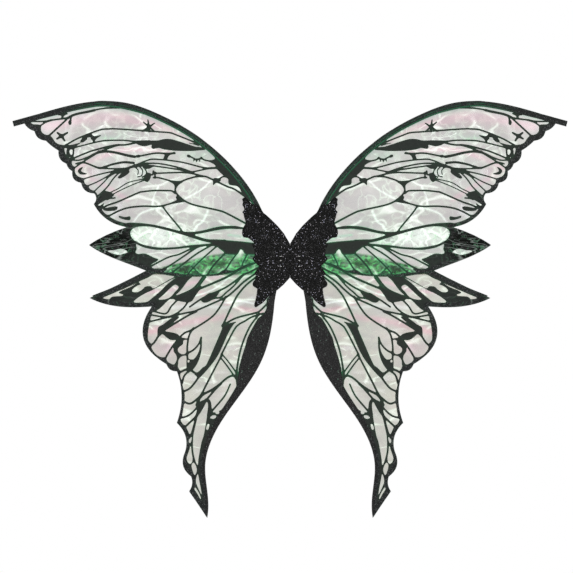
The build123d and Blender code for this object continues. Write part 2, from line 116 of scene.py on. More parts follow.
# Veins of the upper print: width at each end, then points along the middle
UPPER_STROKES = [
    (3.2, 2.8, [(70, 60), (104, 78), (119, 83), (160, 92.5), (179, 104), (186.5, 116), (178, 128),
                (157, 136), (143, 137.5)]),
    (3.2, 2.6, [(68, 101), (89, 116), (104, 122), (133.5, 136), (142, 138), (170, 143.5),
                (219, 142.5)]),
    (2.5, 2.5, [(100, 136), (109, 137), (117, 132)]),
    (2.6, 2.4, [(121.5, 151.5), (141, 152), (178, 161), (219, 165.5), (234, 163), (246, 158),
                (260, 153)]),
    (2.6, 2.4, [(120, 151), (133.5, 150), (148, 147), (160, 145), (170, 148.5), (185, 153),
                (207, 157.5), (225, 159), (240, 157), (262, 151.5)]),
    (2.4, 2.4, [(163, 145), (178, 148), (222, 154.5), (240, 155), (252, 153)]),
    (2.8, 2.6, [(180, 128), (190, 129), (212, 135), (222, 135.5)]),
    (2.8, 3.0, [(187, 110), (192.5, 114), (204, 114.5), (222, 114.5), (240, 112.5), (246, 111),
                (279, 96.5), (295, 91), (305, 86)]),
    (2.8, 3.0, [(178, 97), (192, 94), (213, 89), (240, 89), (262.5, 86.5), (279, 81), (292, 74.5),
                (300, 73)]),
    (2.8, 2.8, [(207, 89), (200, 79), (181, 56), (174.5, 47)]),
    (2.8, 2.8, [(66, 52.5), (88.5, 54.5), (106, 54.5), (121, 52.5), (149, 46), (174, 45.5),
                (221, 57), (251, 58.5), (264, 57)]),
    (3.4, 2.8, [(106, 33), (133, 33), (160, 40), (169.5, 43.5), (180, 46.5)]),
    (2.8, 2.8, [(114, 26), (128, 26.5), (162, 24), (184, 21), (206.5, 20), (222.5, 21), (240, 25),
                (252, 31)]),
    (2.6, 2.6, [(68, 14), (77, -4), (78, -10)]),
    (2.6, 2.8, [(85, 14), (96, -1), (103.5, -12.5), (111, -19)]),
    (3.0, 3.0, [(102, 16), (118, 0), (127, -11), (134, -22)]),
    (2.6, 2.6, [(118, 25), (142, 4), (160, -14), (166, -22)]),
    (2.8, 2.8, [(129, 25), (155, 9.5), (184, -13), (194, -20)]),
    (2.8, 2.8, [(142, 25), (153, 21), (184, 0), (199, -9.5), (210, -15)]),
    (2.8, 2.6, [(149, 24), (159, 21), (180, 11), (199, 5.5), (228.5, -10), (236, -13)]),
    (1.8, 1.8, [(161, -8), (152, -16), (145, -23)]),
    (2.2, 3.2, [(250, 249), (295, 248.5), (314.5, 246), (327.5, 242.5), (344, 239.5),
                (357, 234.5), (365, 228), (393, 202)]),
    (3.6, 2.4, [(318, 245), (350, 238), (363, 232.5), (384, 229.5), (400, 227), (426, 227)]),
    (2.4, 2.6, [(388, 229), (398, 225), (406, 219.5)]),
    (2.6, 2.8, [(141, 185), (148, 190), (185, 205), (195.5, 208.5), (215, 210), (279, 214.7),
                (295, 214.7), (311, 212.5), (344, 199.5), (370, 185)]),
    (2.0, 1.4, [(149, 188), (156, 190), (164, 191.5)]),
    (2.6, 2.4, [(228, 194.7), (254, 194.7), (270.5, 196.3), (295, 196), (311, 194), (344, 186),
                (356, 182)]),
    (3.0, 2.8, [(247, 193), (267.5, 189), (287, 188), (319, 180), (334, 174.5), (358, 164)]),
    (2.4, 2.4, [(278, 189), (314.5, 176), (327.5, 169.5), (342, 164), (354, 164)]),
    (2.4, 2.4, [(309, 178), (338, 160), (352, 150)]),
    (4.6, 3.6, [(252.5, 169.5), (266, 172), (282, 176), (298, 178), (312, 176.5)]),
    (3.2, 2.6, [(187, 175), (200, 174.5), (219, 175), (247, 170)]),
    (4.6, 4.6, [(246, 170.4), (248, 170.4)]),
    (2.6, 2.6, [(122, 163), (130.5, 162.5), (141, 165), (144.5, 168.5)]),
    (2.2, 2.6, [(143, 167), (153, 165), (158.5, 168), (164.5, 170.5)]),
    (4.4, 4.4, [(164, 170.2), (165.5, 170.8)]),
    (2.2, 1.4, [(147, 166), (147, 161.5)]),
    (2.2, 1.4, [(151, 165.5), (152.2, 160.5)]),
    (2.2, 1.4, [(155, 166), (157, 162)]),
    (4.0, 2.6, [(254, 159.5), (270.5, 160.5), (287, 157.5), (300, 153.5), (311, 151.5),
                (331, 159), (340.5, 159.8), (348, 158)]),
    (2.6, 2.4, [(232, 159), (262.5, 151.5), (287, 150), (311, 151)]),
    (2.6, 2.2, [(262, 149.5), (280, 147.5), (314.5, 139.5), (338, 132.5)]),
    (2.0, 2.2, [(284, 147), (298, 137), (314.5, 128), (331, 121)]),
    (2.0, 2.2, [(274, 147.5), (292, 138.5), (303, 127.5), (319, 112)]),
    (2.4, 2.4, [(264, 148), (277, 143.5), (287, 134), (298, 119), (318, 100)]),
    (1.8, 1.8, [(238, 133.5), (262.5, 127.5), (279, 117.5), (292, 111), (313, 96)]),
    (1.8, 1.8, [(236, 131.5), (259, 122.5), (290, 107), (311, 91)]),
    (2.6, 2.2, [(284, 102.5), (298, 100), (309, 90)]),
    (2.8, 2.2, [(219, 144), (219.5, 135)]),
    (3.0, 2.0, [(222, 146), (223.5, 140), (232, 142.5)]),
    (2.0, 1.8, [(238, 152), (233.5, 146), (234, 140), (240, 136)]),
    (2.0, 1.8, [(244, 153), (239.5, 147), (241, 139), (248, 136.5)]),
    (1.8, 1.6, [(251, 152), (246.5, 147), (247.5, 140)]),
]

# Small stars of the upper print: middle, width there and at the tips, tips
STARS = [
    ((229, 218), 3.8, 2.0, [(220, 224), (222, 212.5), (231, 229.5), (238.5, 226), (229, 210),
                            (240, 211)]),
    ((369, 238), 4.4, 2.4, [(362, 239.5), (376.5, 238), (370.5, 232.5), (373, 243)]),
    ((371, 203), 4.8, 3.0, [(361.5, 208.5), (366, 195.5), (378.5, 198.5), (378, 208.5)]),
]
for middle, middle_width, tip_width, tips in STARS:
    UPPER_STROKES += [(middle_width, tip_width, [middle, tip]) for tip in tips]

# Filled patches of the upper print, as closed outlines
UPPER_PATCHES = [
    [(112, 131), (121, 126.5), (125, 123), (125, 131), (123, 135), (117, 134.5)],
    [(174, 129), (182, 123), (186.5, 117), (188.5, 124), (195, 129.5), (185, 130)],
    [(170, 97), (176, 98.5), (183, 106), (186, 103), (184.5, 99.5), (194, 94), (180, 95)],
    [(236, 60), (250, 62), (264, 62), (269, 56), (262, 49), (258, 53), (248, 57)],
    [(137, 181), (146, 185), (156, 186.5), (185, 196), (198, 198.5), (210, 197), (220, 192),
     (225, 186.5), (223, 182), (213, 183.5), (204, 181), (185, 179), (163, 178.5), (150, 179.5)],
    [(211, 195), (240, 195.5), (250, 194.5), (249, 190.5), (243, 187.5), (232, 187)],
    [(187, 177), (196, 174.5), (203, 173), (205.5, 165), (200, 165.5), (196, 171.5)],
    [(263, 148), (272, 144), (280, 136), (276, 134), (268, 138), (261, 144)],
    [(281, 88.5), (290, 88), (303, 84.5), (300, 81.5), (286, 81.5), (280, 85)],
    [(259.5, 72.5), (268, 71.5), (278, 73.5), (277, 70), (268, 67), (260, 66.5)],
    [(336, 153), (341.5, 151), (345, 146), (341, 141), (333, 140.5), (329.5, 142.5), (336, 144),
     (339.5, 147)],
    [(354.5, 235), (358, 230), (360.5, 225), (358, 220.5), (355, 222.5), (355, 229)],
    [(306.5, 204.5), (318, 203), (323, 206.5), (331, 206), (341, 195), (336, 193), (327, 199.5),
     (322, 197), (319, 192.5), (315, 198)],
    [(227, 142.5), (235, 140.5), (236.5, 131), (231, 128.5), (226.5, 135)],
    [(221, 155), (228, 150), (235, 150.5), (241, 155.5), (231, 154.5)],
    [(351.5, 184.5), (361.5, 183.5), (362.5, 172), (354, 167.5), (351, 172)],
    [(340, 192.5), (352, 189.5), (362, 187.5), (367, 184), (358, 183.5), (348, 187)],
    [(286, 107), (294, 112.5), (303, 113), (310, 104), (315, 96), (312, 87), (305, 88),
     (300, 95.5), (292, 102.5)],
]

# Small clear openings inside those patches
UPPER_OPENINGS = [
    [(353.5, 181), (358, 180), (357.5, 174), (354, 173)],
    [(299, 99), (311, 91.5), (309, 90), (298, 97)],
    [(324, 201), (330, 200), (328, 197), (324, 198.5)],
]

# Clear windows of the lower print: main field, cells of the second point, cells of the tail
LOWER_WINDOWS = [
    [(28, 18), (110, 10), (150, 3.5), (168, -4.5), (200, -11), (214, -16), (190, -20), (158, -22),
     (166, -32), (180, -50), (199, -65), (208, -74), (216, -80), (222, -82), (225, -87),
     (230, -110), (231, -125), (229, -131), (226, -134), (224, -143), (217, -152), (210, -156),
     (202, -157), (199, -163), (190, -168), (184, -167), (181, -174), (178, -179), (178, -187),
     (172, -212), (171, -222), (174, -245), (176, -254), (178, -257), (175, -264), (170.5, -268),
     (166, -276), (163, -282), (159, -278), (155, -262), (152, -252), (150, -240), (147, -230),
     (141, -226), (133, -226), (129, -229), (127.5, -238), (126, -246), (114, -243),
     (107.5, -236), (91, -210), (86.5, -199), (82, -169), (72.5, -137), (68, -122), (53.5, -95.5),
     (45.5, -88), (40, -81), (37.5, -72), (38, -62), (33, -50)],
    [(188, -24.5), (205, -21), (219, -20.5), (232, -27.5), (246, -34), (242, -37.5), (249, -40.5),
     (256, -46), (256, -50), (248, -50.5), (240, -46), (235, -41.5), (226, -41), (222, -44.5),
     (210, -38), (198, -31)],
    [(248, -35), (262, -41.5), (293, -55), (304, -60), (294, -62), (289, -58), (272, -56.5),
     (271, -54.5), (279, -51.5), (272, -47.5), (258, -41.5)],
    [(187, -27), (225, -48), (233, -51.5), (246, -59), (254, -66.5), (244, -67.5), (232, -66),
     (224, -60), (212, -50), (200, -38)],
    [(186, -38.5), (192, -42), (208, -57), (214, -62.5), (203, -62), (194, -58), (187, -50),
     (181, -43)],
    [(133, -232), (137, -229), (143, -237), (149, -248), (152, -256), (157, -283.5),
     (157, -310.5), (150.5, -332), (148.5, -319), (144, -295), (140, -282), (135, -252)],
    [(161.5, -298), (163, -305), (168, -321.5), (163, -330), (159.5, -327), (158.5, -321),
     (160, -311)],
    [(157, -327.5), (160, -332), (158.5, -340), (155, -348), (151.5, -341), (153, -333)],
    [(150, -346), (153, -356.5), (151, -365), (145, -378), (143.5, -380), (145, -370),
     (147.5, -357)],
    [(154, -368), (155, -371), (150, -379), (145.5, -387), (144.5, -386), (148, -377)],
    [(159.5, -283), (163.5, -287), (164.5, -295), (162, -296), (160, -290)],
    [(115, -245), (119, -244), (121, -248), (116, -248.5)],
    [(120, -251), (126, -251), (130, -255), (124, -256.5), (120, -253.5)],
    [(131, -265), (134, -265), (136.5, -273), (133, -274)],
]

# Veins of the lower print: width at each end, then points along the middle
LOWER_STROKES = [
    (3.4, 3.2, [(50, 0), (81, -13), (94.5, -21.5), (109, -29), (142, -43), (160, -49)]),
    (3.0, 2.6, [(42, -5), (63.5, -17), (77, -23), (88.5, -32), (103, -42), (118, -49.5),
                (133, -55.5), (148, -64), (163, -74.5)]),
    (3.0, 2.6, [(50, -16), (74, -33), (88.5, -46.5), (103.5, -58.5), (127, -69.5), (158, -83)]),
    (2.8, 2.8, [(50, -22), (69.5, -37.5), (81, -50), (90, -64), (110, -106)]),
    (2.4, 2.4, [(76, -23), (91.5, -40.5), (103.5, -51), (112, -58.5), (121, -60.5), (135, -62)]),
    (2.6, 2.8, [(33, -65), (49, -81), (59, -85), (88.5, -93), (110, -105)]),
    (2.6, 2.6, [(44, -85), (62, -91), (74, -98), (83, -103), (91.5, -113), (112, -153)]),
    (2.6, 2.8, [(50, -86), (66.5, -109), (80, -143), (87, -181), (86, -199)]),
    (2.0, 2.2, [(111, -151), (100.5, -163.5), (90, -178), (86.5, -185)]),
    (2.2, 2.4, [(113, -157), (103.5, -169), (88, -191)]),
    (2.6, 3.0, [(112, -155), (134, -197), (144, -216.5), (152, -225), (160, -231),
                (165.5, -231.5), (174, -228)]),
    (3.0, 3.0, [(84, -190), (90, -187), (96, -187), (103.5, -191), (114, -200.5), (132, -221),
                (137, -227.5), (144, -241), (152, -252), (172, -271)]),
    (3.4, 3.4, [(113, -200), (128, -210), (141, -217), (148, -225), (152, -234)]),
    (2.2, 2.8, [(97, -200), (106.5, -219.5), (127, -244)]),
    (3.6, 4.4, [(137, -226), (132, -227.5), (130.5, -238), (132, -250)]),
    (3.0, 3.6, [(149, -224), (148.5, -238), (152, -252), (159, -279), (164, -287)]),
    (2.6, 2.8, [(149, -235), (157.5, -245), (167, -252), (180, -255.5)]),
    (3.0, 2.8, [(146, -185), (155, -198), (163, -207), (173, -212)]),
    (3.6, 2.8, [(148, -187), (160, -178), (164, -176), (171, -177), (184, -184)]),
    (2.8, 2.8, [(162, -177), (168, -182), (172.5, -188), (175, -198)]),
    (2.6, 2.6, [(152, -82), (170, -84.5), (230, -99)]),
    (2.6, 3.0, [(154, -83), (170, -91), (206, -113)]),
    (2.6, 2.8, [(104, -58), (116, -78), (129, -92.5), (157, -110.5), (171.5, -117), (181, -126.5),
                (192.5, -141), (205, -162)]),
    (2.6, 2.8, [(157, -109), (163.5, -120), (166.5, -135), (167, -151), (165, -180)]),
    (2.6, 2.4, [(159, -60), (163.5, -62.5), (173, -76), (186, -86), (200.5, -91), (230, -87)]),
    (2.6, 2.4, [(176, -56), (192.5, -73), (202.5, -85.5), (224, -81)]),
    (2.8, 2.6, [(140, -24), (158.5, -45.5), (193, -61)]),
    (2.2, 3.0, [(144.5, -124), (148.5, -135), (157, -144.5), (168, -150.5)]),
    (3.0, 2.8, [(211, -117), (220, -131.5), (228, -139)]),
    (2.4, 2.2, [(137, -26), (151, -45)]),
]

# Filled patches of the lower print, as closed outlines
LOWER_PATCHES = [
    [(114, -48), (124, -52), (132, -52.5), (144, -63), (141, -67.5), (134, -67), (124, -61.5),
     (118, -56)],
    [(86, -98), (100.5, -102), (109, -106), (112.5, -115), (133, -162), (138, -170.5),
     (142, -173), (149, -180), (155, -183), (149, -189), (140, -183), (118, -155), (100.5, -118),
     (91.5, -103)],
    [(144, -41), (160, -47), (175, -53), (191, -60), (181, -65), (168, -67), (160, -65.5),
     (154, -57)],
    [(143.5, -123), (148, -146), (155, -158), (160, -160), (166, -159), (168, -165), (167, -177),
     (160, -178), (153, -170.5), (147, -158), (143.5, -142)],
    [(165, -127), (176, -124.5), (181, -127), (185, -132), (189, -140), (189, -147), (185, -153),
     (184, -160), (187, -168), (182, -169), (181, -161), (176, -155), (167, -153), (166, -150),
     (175, -151.5), (181, -148), (182, -142), (174, -135), (173, -129)],
    [(180, -91), (190, -91.5), (206, -102.5), (214.5, -108.5), (214.5, -122), (208, -119),
     (203, -112.5), (190, -100)],
    [(180, -122), (186, -117.5), (205, -114), (213, -114), (206, -119.5), (199, -125.5),
     (192, -128.5), (184, -127.5)],
]

# Small clear opening inside one of those patches
LOWER_OPENINGS = [
    [(163, -161.5), (166, -160.5), (166.5, -164), (164, -165)],
]

# The tail's glitter band, inside the lower sheet's dark inner edge
BAND_INNER = [
    (25, -50), (36, -62), (37, -73), (39.5, -82), (45, -89), (53, -97), (67.5, -123), (72, -138),
    (78, -155), (84, -186), (86, -200), (91, -211), (107.5, -237), (114, -245), (130, -274),
    (136, -292), (139.5, -312), (141, -334), (137, -392), (135, -414),
]

# The rest of that band's outline, beyond the sheet
BAND_OUTER = [(60, -430), (-20, -430), (-20, -50)]

# Outline of half the glitter cover: its ragged edge from the upper corner down, and what runs
# from the centre line to that edge above and below
COVER_EDGE = [
    (44.5, 79.5), (50, 90), (56, 92), (62, 92.5), (67, 98), (73, 104), (78, 101), (76.5, 96),
    (77.5, 91), (75, 87), (74, 83), (78, 80), (75.5, 76.5), (74.5, 71), (72.5, 65), (72, 61),
    (75, 56), (77.5, 51), (78, 44), (76, 38.5), (68, 37.5), (62, 33), (57, 28.5), (62, 27),
    (58, 20), (57, 10), (61, 4), (59, 0), (54, -5), (49, -9.5), (54, -14), (58, -20),
    (55, -24), (56, -29), (60, -34), (61, -37), (60, -41), (53, -45), (54, -52), (55, -59),
    (58, -70), (58, -74), (55.5, -75.5), (47, -70), (40, -64), (35, -57.5), (31, -56),
    (24, -49),
]
COVER_OUTER_TOP = [(0, 28), (10, 45), (15, 51), (20, 57), (30, 67), (37, 73.5)]
COVER_OUTER_BOTTOM = [(20, -47), (10, -38), (0, -27)]

# Middle line of the leading edge's binding, from under the cover to the square tip
BINDING = [
    (40, 65), (49.5, 80), (64.2, 107.3), (84, 135), (106.2, 159.7), (135.1, 186.1),
    (162.7, 206.3), (197.8, 226), (241.5, 244.5), (295, 255.5), (333.2, 252.4), (391, 239.2),
    (450, 223.2),
]

# Wires to the second point and down the tail
SECOND_ROD = [
    (11, 8.5), (55, -4), (98, -17), (150, -22.5), (200, -19), (233, -20.5), (262, -33.5),
    (290, -47), (320, -59),
]
TAIL_ROD = [
    (18, -14), (27, -58), (31.5, -90), (37.5, -120), (47, -150), (64, -185), (84, -215),
    (107, -245), (126, -276), (138, -305), (142, -330), (139.5, -360), (136.5, -394),
]

# Half the drawn width of a vein, as a share of the width given in its table
INK_SPREAD = {"upper": 0.50, "lower": 0.57}

# Middle line of an arm loop, in y and z, from the upper patch to the lower one
LOOP_ROUTE = [
    (-5.4, 27), (-5.4, 44), (-2, 55), (10, 61.5), (32, 64), (54, 61), (73, 54), (87, 43),
    (93.6, 33), (95, 24), (95, 12), (95, -12), (95, -21), (93.6, -30), (86, -41), (72, -47.5),
    (50, -52), (28, -53.5), (8, -50), (-3, -42.5), (-5.4, -33), (-5.4, -17),
]


# ---------------------------------------------------------------------------------------------
# Flat drawing: curves, signed distances and their contours, all in millimetres

def smooth(points, step=1.5, closed=False):
    """Points about step mm apart on a curve through the given points."""
    p = np.array(points, float)
    if closed:
        p = np.vstack([p[-1:], p, p[:2]])
    else:
        p = np.vstack([2 * p[0] - p[1], p, 2 * p[-1] - p[-2]])
    found = []
    for a, b, c, d in zip(p[:-3], p[1:-2], p[2:-1], p[3:]):
        count = max(1, int(np.ceil(np.linalg.norm(c - b) / step)))
        t = np.linspace(0, 1, count, endpoint=False)[:, None]
        bend = (2 * a - 5 * b + 4 * c - d) * t ** 2 + (3 * b - a - 3 * c + d) * t ** 3
        found.append((2 * b + (c - a) * t + bend) / 2)
    if not closed:
        found.append(p[-2:-1])
    return np.vstack(found)


def outline(cad_node):
    """The longest edge loop round the front faces of a CAD node, in x and z."""
    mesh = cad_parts[cad_node].data
    edges = {}
    for face in mesh.polygons:
        if face.normal.y < -0.9:
            corners = [tuple(round(mesh.vertices[v].co[k] / MM, 3) for k in (0, 2))
                       for v in face.vertices]
            for a, b in zip(corners, corners[1:] + corners[:1]):
                if a != b:
                    edges[a, b] = True
    rim = {a: b for a, b in edges if (b, a) not in edges}
    loops = []
    while rim:
        start, here = rim.popitem()
        loop = [start]
        while here in rim:
            loop.append(here)
            here = rim.pop(here)
        loops.append(np.array(loop))
    return max(loops, key=lambda loop: distances_along(loop)[-1])


def distances_along(path):
    """How far along a path each of its points is."""
    return np.append(0, np.cumsum(np.linalg.norm(np.diff(path, axis=0), axis=1)))


class Grid:
    """A square grid in x and z, with a spare margin round the area it has to cover."""

    def __init__(self, area, step, margin=4):
        first = np.floor((area.min(0) - margin) / step)
        last = np.ceil((area.max(0) + margin) / step)
        self.step = step
        self.low = first * step
        self.x, self.z = np.meshgrid(np.arange(first[0], last[0] + 1) * step,
                                     np.arange(first[1], last[1] + 1) * step)

    def window(self, points, reach):
        """The slice of the grid within reach of some points."""
        low = np.floor((points.min(0) - reach - self.low) / self.step).astype(int)
        high = np.ceil((points.max(0) + reach - self.low) / self.step).astype(int) + 1
        low = np.maximum(low, 0)
        high = np.maximum(high, 0)
        return slice(low[1], high[1]), slice(low[0], high[0])


FAR = 9.0  # how far from a shape its distance is worked out


def segment_distance(x, z, a, b):
    """The squared distance of places from a segment, and how far along it each is nearest."""
    dx, dz = b[0] - a[0], b[1] - a[1]
    x, z = x - a[0], z - a[1]
    along = np.clip((x * dx + z * dz) / (dx * dx + dz * dz), 0, 1)
    return (x - along * dx) ** 2 + (z - along * dz) ** 2, along


def area_distance(grid, points):
    """Distance to a closed outline, negative inside it."""
    field = np.full(grid.x.shape, FAR)
    part = grid.window(points, FAR)
    x, z = grid.x[part], grid.z[part]
    nearest = np.full(x.shape, 1e9)
    inside = np.zeros(x.shape, bool)
    for a, b in zip(points, np.roll(points, -1, axis=0)):
        if (a != b).any():
            nearest = np.minimum(nearest, segment_distance(x, z, a, b)[0])
        if a[1] != b[1]:
            crossing = (b[0] - a[0]) * (z - a[1]) / (b[1] - a[1]) + a[0]
            inside ^= ((a[1] > z) != (b[1] > z)) & (x < crossing)
    nearest = np.sqrt(nearest)
    field[part] = np.where(inside, -nearest, np.minimum(nearest, FAR))
    return field


def line_distance(x, z, points):
    """Distance from each place to a line through the points."""
    nearest = [segment_distance(x, z, a, b)[0] for a, b in zip(points[:-1], points[1:])]
    return np.sqrt(np.minimum.reduce(nearest))


def join(a, b, round_off=1.8):
    """The union of two distance fields, with its inner corners rounded."""
    near = np.maximum(round_off - np.abs(a - b), 0) / round_off
    return np.minimum(a, b) - near * near * round_off / 4


def stroke_distance(grid, start_width, end_width, points, spread):
    """Distance to a stroke whose width changes along it, negative inside."""
    field = np.full(grid.x.shape, FAR)
    path = smooth(points, step=2.2)
    along = distances_along(path)
    radius = (start_width + (end_width - start_width) * along / along[-1]) * spread
    for a, b, start, end in zip(path[:-1], path[1:], radius[:-1], radius[1:]):
        part = grid.window(np.array([a, b]), 5)
        nearest, share = segment_distance(grid.x[part], grid.z[part], a, b)
        field[part] = np.minimum(field[part], np.sqrt(nearest) - start - (end - start) * share)
    return field


def print_distance(grid, edge, spread, windows, strokes, patches, openings):
    """Distance to the dark print of a sheet: its border, veins and patches."""
    clear = [area_distance(grid, smooth(window, 3, closed=True)) for window in windows]
    dark = -np.minimum.reduce(clear)
    for first, last, points in strokes:
        dark = join(dark, stroke_distance(grid, first, last, points, spread))
    for patch in patches:
        dark = join(dark, area_distance(grid, smooth(patch, 2, closed=True)))
    for opening in openings:
        dark = np.maximum(dark, -area_distance(grid, smooth(opening, 2, closed=True)))
    return np.maximum(dark, edge)


# Corners and crossings met in turn round one cell of the grid, for each way it can be cut
CELL_WALKS = []
for cell_case in range(16):
    walk = []
    for corner in range(4):
        if cell_case >> corner & 1:
            walk.append(corner)
        if (cell_case >> corner & 1) != (cell_case >> (corner + 1) % 4 & 1):
            walk.append(4 + corner)
    CELL_WALKS.append(walk)


class Contour:
    """The part of a grid where a field is negative, as points, faces and rim edges."""

    def __init__(self, grid, field):
        # The contour's points: grid points inside it, then cuts across the grid's lines
        rows, columns = field.shape
        place = np.arange(rows * columns).reshape(rows, columns)
        within = field < 0
        corners = np.full((rows, columns), -1)
        corners[within] = np.arange(within.sum())
        self.first = [place[within]]
        self.second = [place[within]]
        self.share = [np.zeros(within.sum())]
        self.count = within.sum()
        across = self.cut(field[:, :-1], field[:, 1:], place[:, :-1], place[:, 1:])
        upward = self.cut(field[:-1], field[1:], place[:-1], place[1:])
        self.first, self.second, self.share = (
            np.concatenate(part) for part in (self.first, self.second, self.share))
        # A face for each cell, by which of its corners are inside
        slots = np.stack([
            corners[:-1, :-1], corners[:-1, 1:], corners[1:, 1:], corners[1:, :-1],
            across[:-1], upward[:, 1:], across[1:], upward[:, :-1]])
        cases = sum((within[r:rows - 1 + r, c:columns - 1 + c] * bit)
                    for r, c, bit in ((0, 0, 1), (0, 1, 2), (1, 1, 4), (1, 0, 8)))
        self.faces, self.rim = [], []
        for case, walk in enumerate(CELL_WALKS):
            chosen = slots[:, cases == case]
            if walk and chosen.shape[1]:
                self.faces.append(chosen[walk].T)
                for a, b in zip(walk, walk[1:] + walk[:1]):
                    if a > 3 and b > 3:
                        self.rim.append(chosen[[a, b]].T)
        self.rim = np.vstack(self.rim)
        self.x = self.value(grid.x)
        self.z = self.value(grid.z)

    def cut(self, start, end, start_place, end_place):
        """The numbers of the points where grid lines cross the contour."""
        crossed = (start < 0) != (end < 0)
        numbers = np.full(start.shape, -1)
        numbers[crossed] = self.count + np.arange(crossed.sum())
        self.count += crossed.sum()
        share = start[crossed] / (start[crossed] - end[crossed])
        self.first.append(start_place[crossed])
        self.second.append(end_place[crossed])
        self.share.append(np.clip(share, 0.04, 0.96))
        return numbers

    def value(self, field):
        """Another field of the grid, at the contour's points."""
        flat = field.ravel()
        return flat[self.first] + (flat[self.second] - flat[self.first]) * self.share


# ---------------------------------------------------------------------------------------------
# Smooth random relief

WAVES_REPEAT = 64  # cells after which the random values repeat


def waves(x, z, size, seed):
    """Random values from -1 to 1 that change smoothly over size mm."""
    table = np.random.default_rng(seed).uniform(-1, 1, (WAVES_REPEAT, WAVES_REPEAT))
    u, v = x / size + 10 * WAVES_REPEAT, z / size + 10 * WAVES_REPEAT
    i, j = np.floor(u).astype(int), np.floor(v).astype(int)
    f, g = u - i, v - j
    f, g = f * f * (3 - 2 * f), g * g * (3 - 2 * g)
    i, j, next_i, next_j = (k % WAVES_REPEAT for k in (i, j, i + 1, j + 1))
    low = table[i, j] * (1 - f) + table[next_i, j] * f
    high = table[i, next_j] * (1 - f) + table[next_i, next_j] * f
    return low * (1 - g) + high * g


def ease(value, low, high):
    """0 below low, 1 above high and smooth between."""
    t = np.clip((value - low) / (high - low), 0, 1)
    return t * t * (3 - 2 * t)


def spot(x, z, centre_x, centre_z, radius_x, radius_z):
    """A soft round weight of 1 at its centre."""
    return np.exp(-((x - centre_x) / radius_x) ** 2 - ((z - centre_z) / radius_z) ** 2)


# The film's creases: size, height and seed of each layer
CREASE_LAYERS = ((44, 1.7, 3), (24, 0.7, 4))
SWELL = 2.0  # height of the wide swell under the creases
CRUMPLE = 2.2  # height of the crumples in the lobe's tip
EDGE_CURL = 3.2  # how far forward the free edges bend
# The crumpled black tip of the middle lobe: centre and reach
LOBE_TIP = (288, 28)


def crinkle(x, z):
    """How far the film of both sheets stands back from flat, in mm."""
    warp_x = x + 14 * waves(x, z, 46, 1)
    warp_z = z + 14 * waves(x, z, 46, 2)
    creases = 0
    for size, height, seed in CREASE_LAYERS:
        ridge = waves(warp_x, warp_z * 1.3, size, seed)
        creases = creases + height * (1 - 2 * np.sqrt(ridge * ridge + 0.01))
    swell = SWELL * waves(x, z, 95, 6)
    crumple = 1 - 2.5 * np.abs(waves(x, z * 1.5, 15, 7))
    lobe = CRUMPLE * spot(x, z, *LOBE_TIP, 34, 30) * crumple
    rods = [line_distance(x, z, rod) for rod in (BINDING, SECOND_ROD, TAIL_ROD)]
    free = ease(np.minimum.reduce(rods), 3, 34) * ease(np.hypot(x, z * 0.75), 74, 120)
    return (creases + swell) * free + lobe


def curl(edge, x, z):
    """How far the free edges bend forward, in mm; edge is the distance to the outline."""
    open_sheet = np.maximum(ease(z, 62, 100), ease(-z, 72, 100))
    return -EDGE_CURL * np.exp(edge / 9) * open_sheet * ease(line_distance(x, z, BINDING), 10, 40)


# ---------------------------------------------------------------------------------------------
# Meshes

def add_mesh(name, points, faces, side, outward=False):
    """A mesh object from points in millimetres, mirrored for the left side."""
    if side < 0:
        points, faces = points * [-1, 1, 1], [face[::-1] for face in faces]
    mesh = bpy.data.meshes.new(name)
    mesh.from_pydata((points * MM).tolist(), [], faces)
    mesh.shade_smooth()
    if outward:
        shape = bmesh.new()
        shape.from_mesh(mesh)
        bmesh.ops.recalc_face_normals(shape, faces=shape.faces)
        shape.to_mesh(mesh)
        shape.free()
    made = bpy.data.objects.new(name, mesh)
    bpy.context.scene.collection.objects.link(made)
    return made


def face_lists(blocks):
    """Blocks of faces as one plain list."""
    return [face for block in blocks for face in block.tolist()]


def skin(contour, front_y, back_y):
    """Points and faces of a closed skin between two heights over a contour."""
    count = contour.count
    points = [np.column_stack([contour.x, np.broadcast_to(y, count), contour.z])
              for y in (front_y, back_y)]
    a, b = contour.rim.T
    walls = np.column_stack([b, a, a + count, b + count])
    backs = [block[:, ::-1] + count for block in contour.faces]
    return np.vstack(points), face_lists(contour.faces + backs + [walls])


def rounded(depth, edge, full, over):
    """Thickness that grows from edge at the rim to full, over a distance in from it."""
    return edge + (full - edge) * (1 - np.exp(-np.maximum(depth, 0) / over))


def colours(made, name, values):
    """Stores a colour for each vertex."""
    rgba = np.column_stack([values, np.ones(len(values))]).astype(np.float32)
    layer = made.data.color_attributes.new(name, "FLOAT_COLOR", "POINT")
    layer.data.foreach_set("color", rgba.ravel())


def sweep(path, normals, binormals, profile, sizes=1.0, closed_ends=True):
    """Points and faces of a profile carried along a path, larger or smaller on the way."""
    profile = np.array(profile, float)
    count = len(profile)
    shape = profile[None] * np.broadcast_to(sizes, len(path))[:, None, None]
    points = (path[:, None] + shape[:, :, :1] * normals[:, None]
              + shape[:, :, 1:] * binormals[:, None]).reshape(-1, 3)
    rings = np.arange(len(path))[:, None] * count
    step = np.arange(count)[None]
    ahead = (step + 1) % count
    quads = np.stack([rings[:-1] + step, rings[:-1] + ahead, rings[1:] + ahead,
                      rings[1:] + step], axis=-1).reshape(-1, 4)
    faces = quads.tolist()
    if closed_ends:
        faces.append(list(range(count))[::-1])
        faces.append([len(path) * count - count + k for k in range(count)])
    return points, faces


def unit(vectors):
    """Vectors made one long."""
    return vectors / np.linalg.norm(vectors, axis=-1, keepdims=True)


def circle(radius, sides):
    """A round profile."""
    turn = np.arange(sides) * 2 * pi / sides
    return radius * np.column_stack([np.cos(turn), np.sin(turn)])


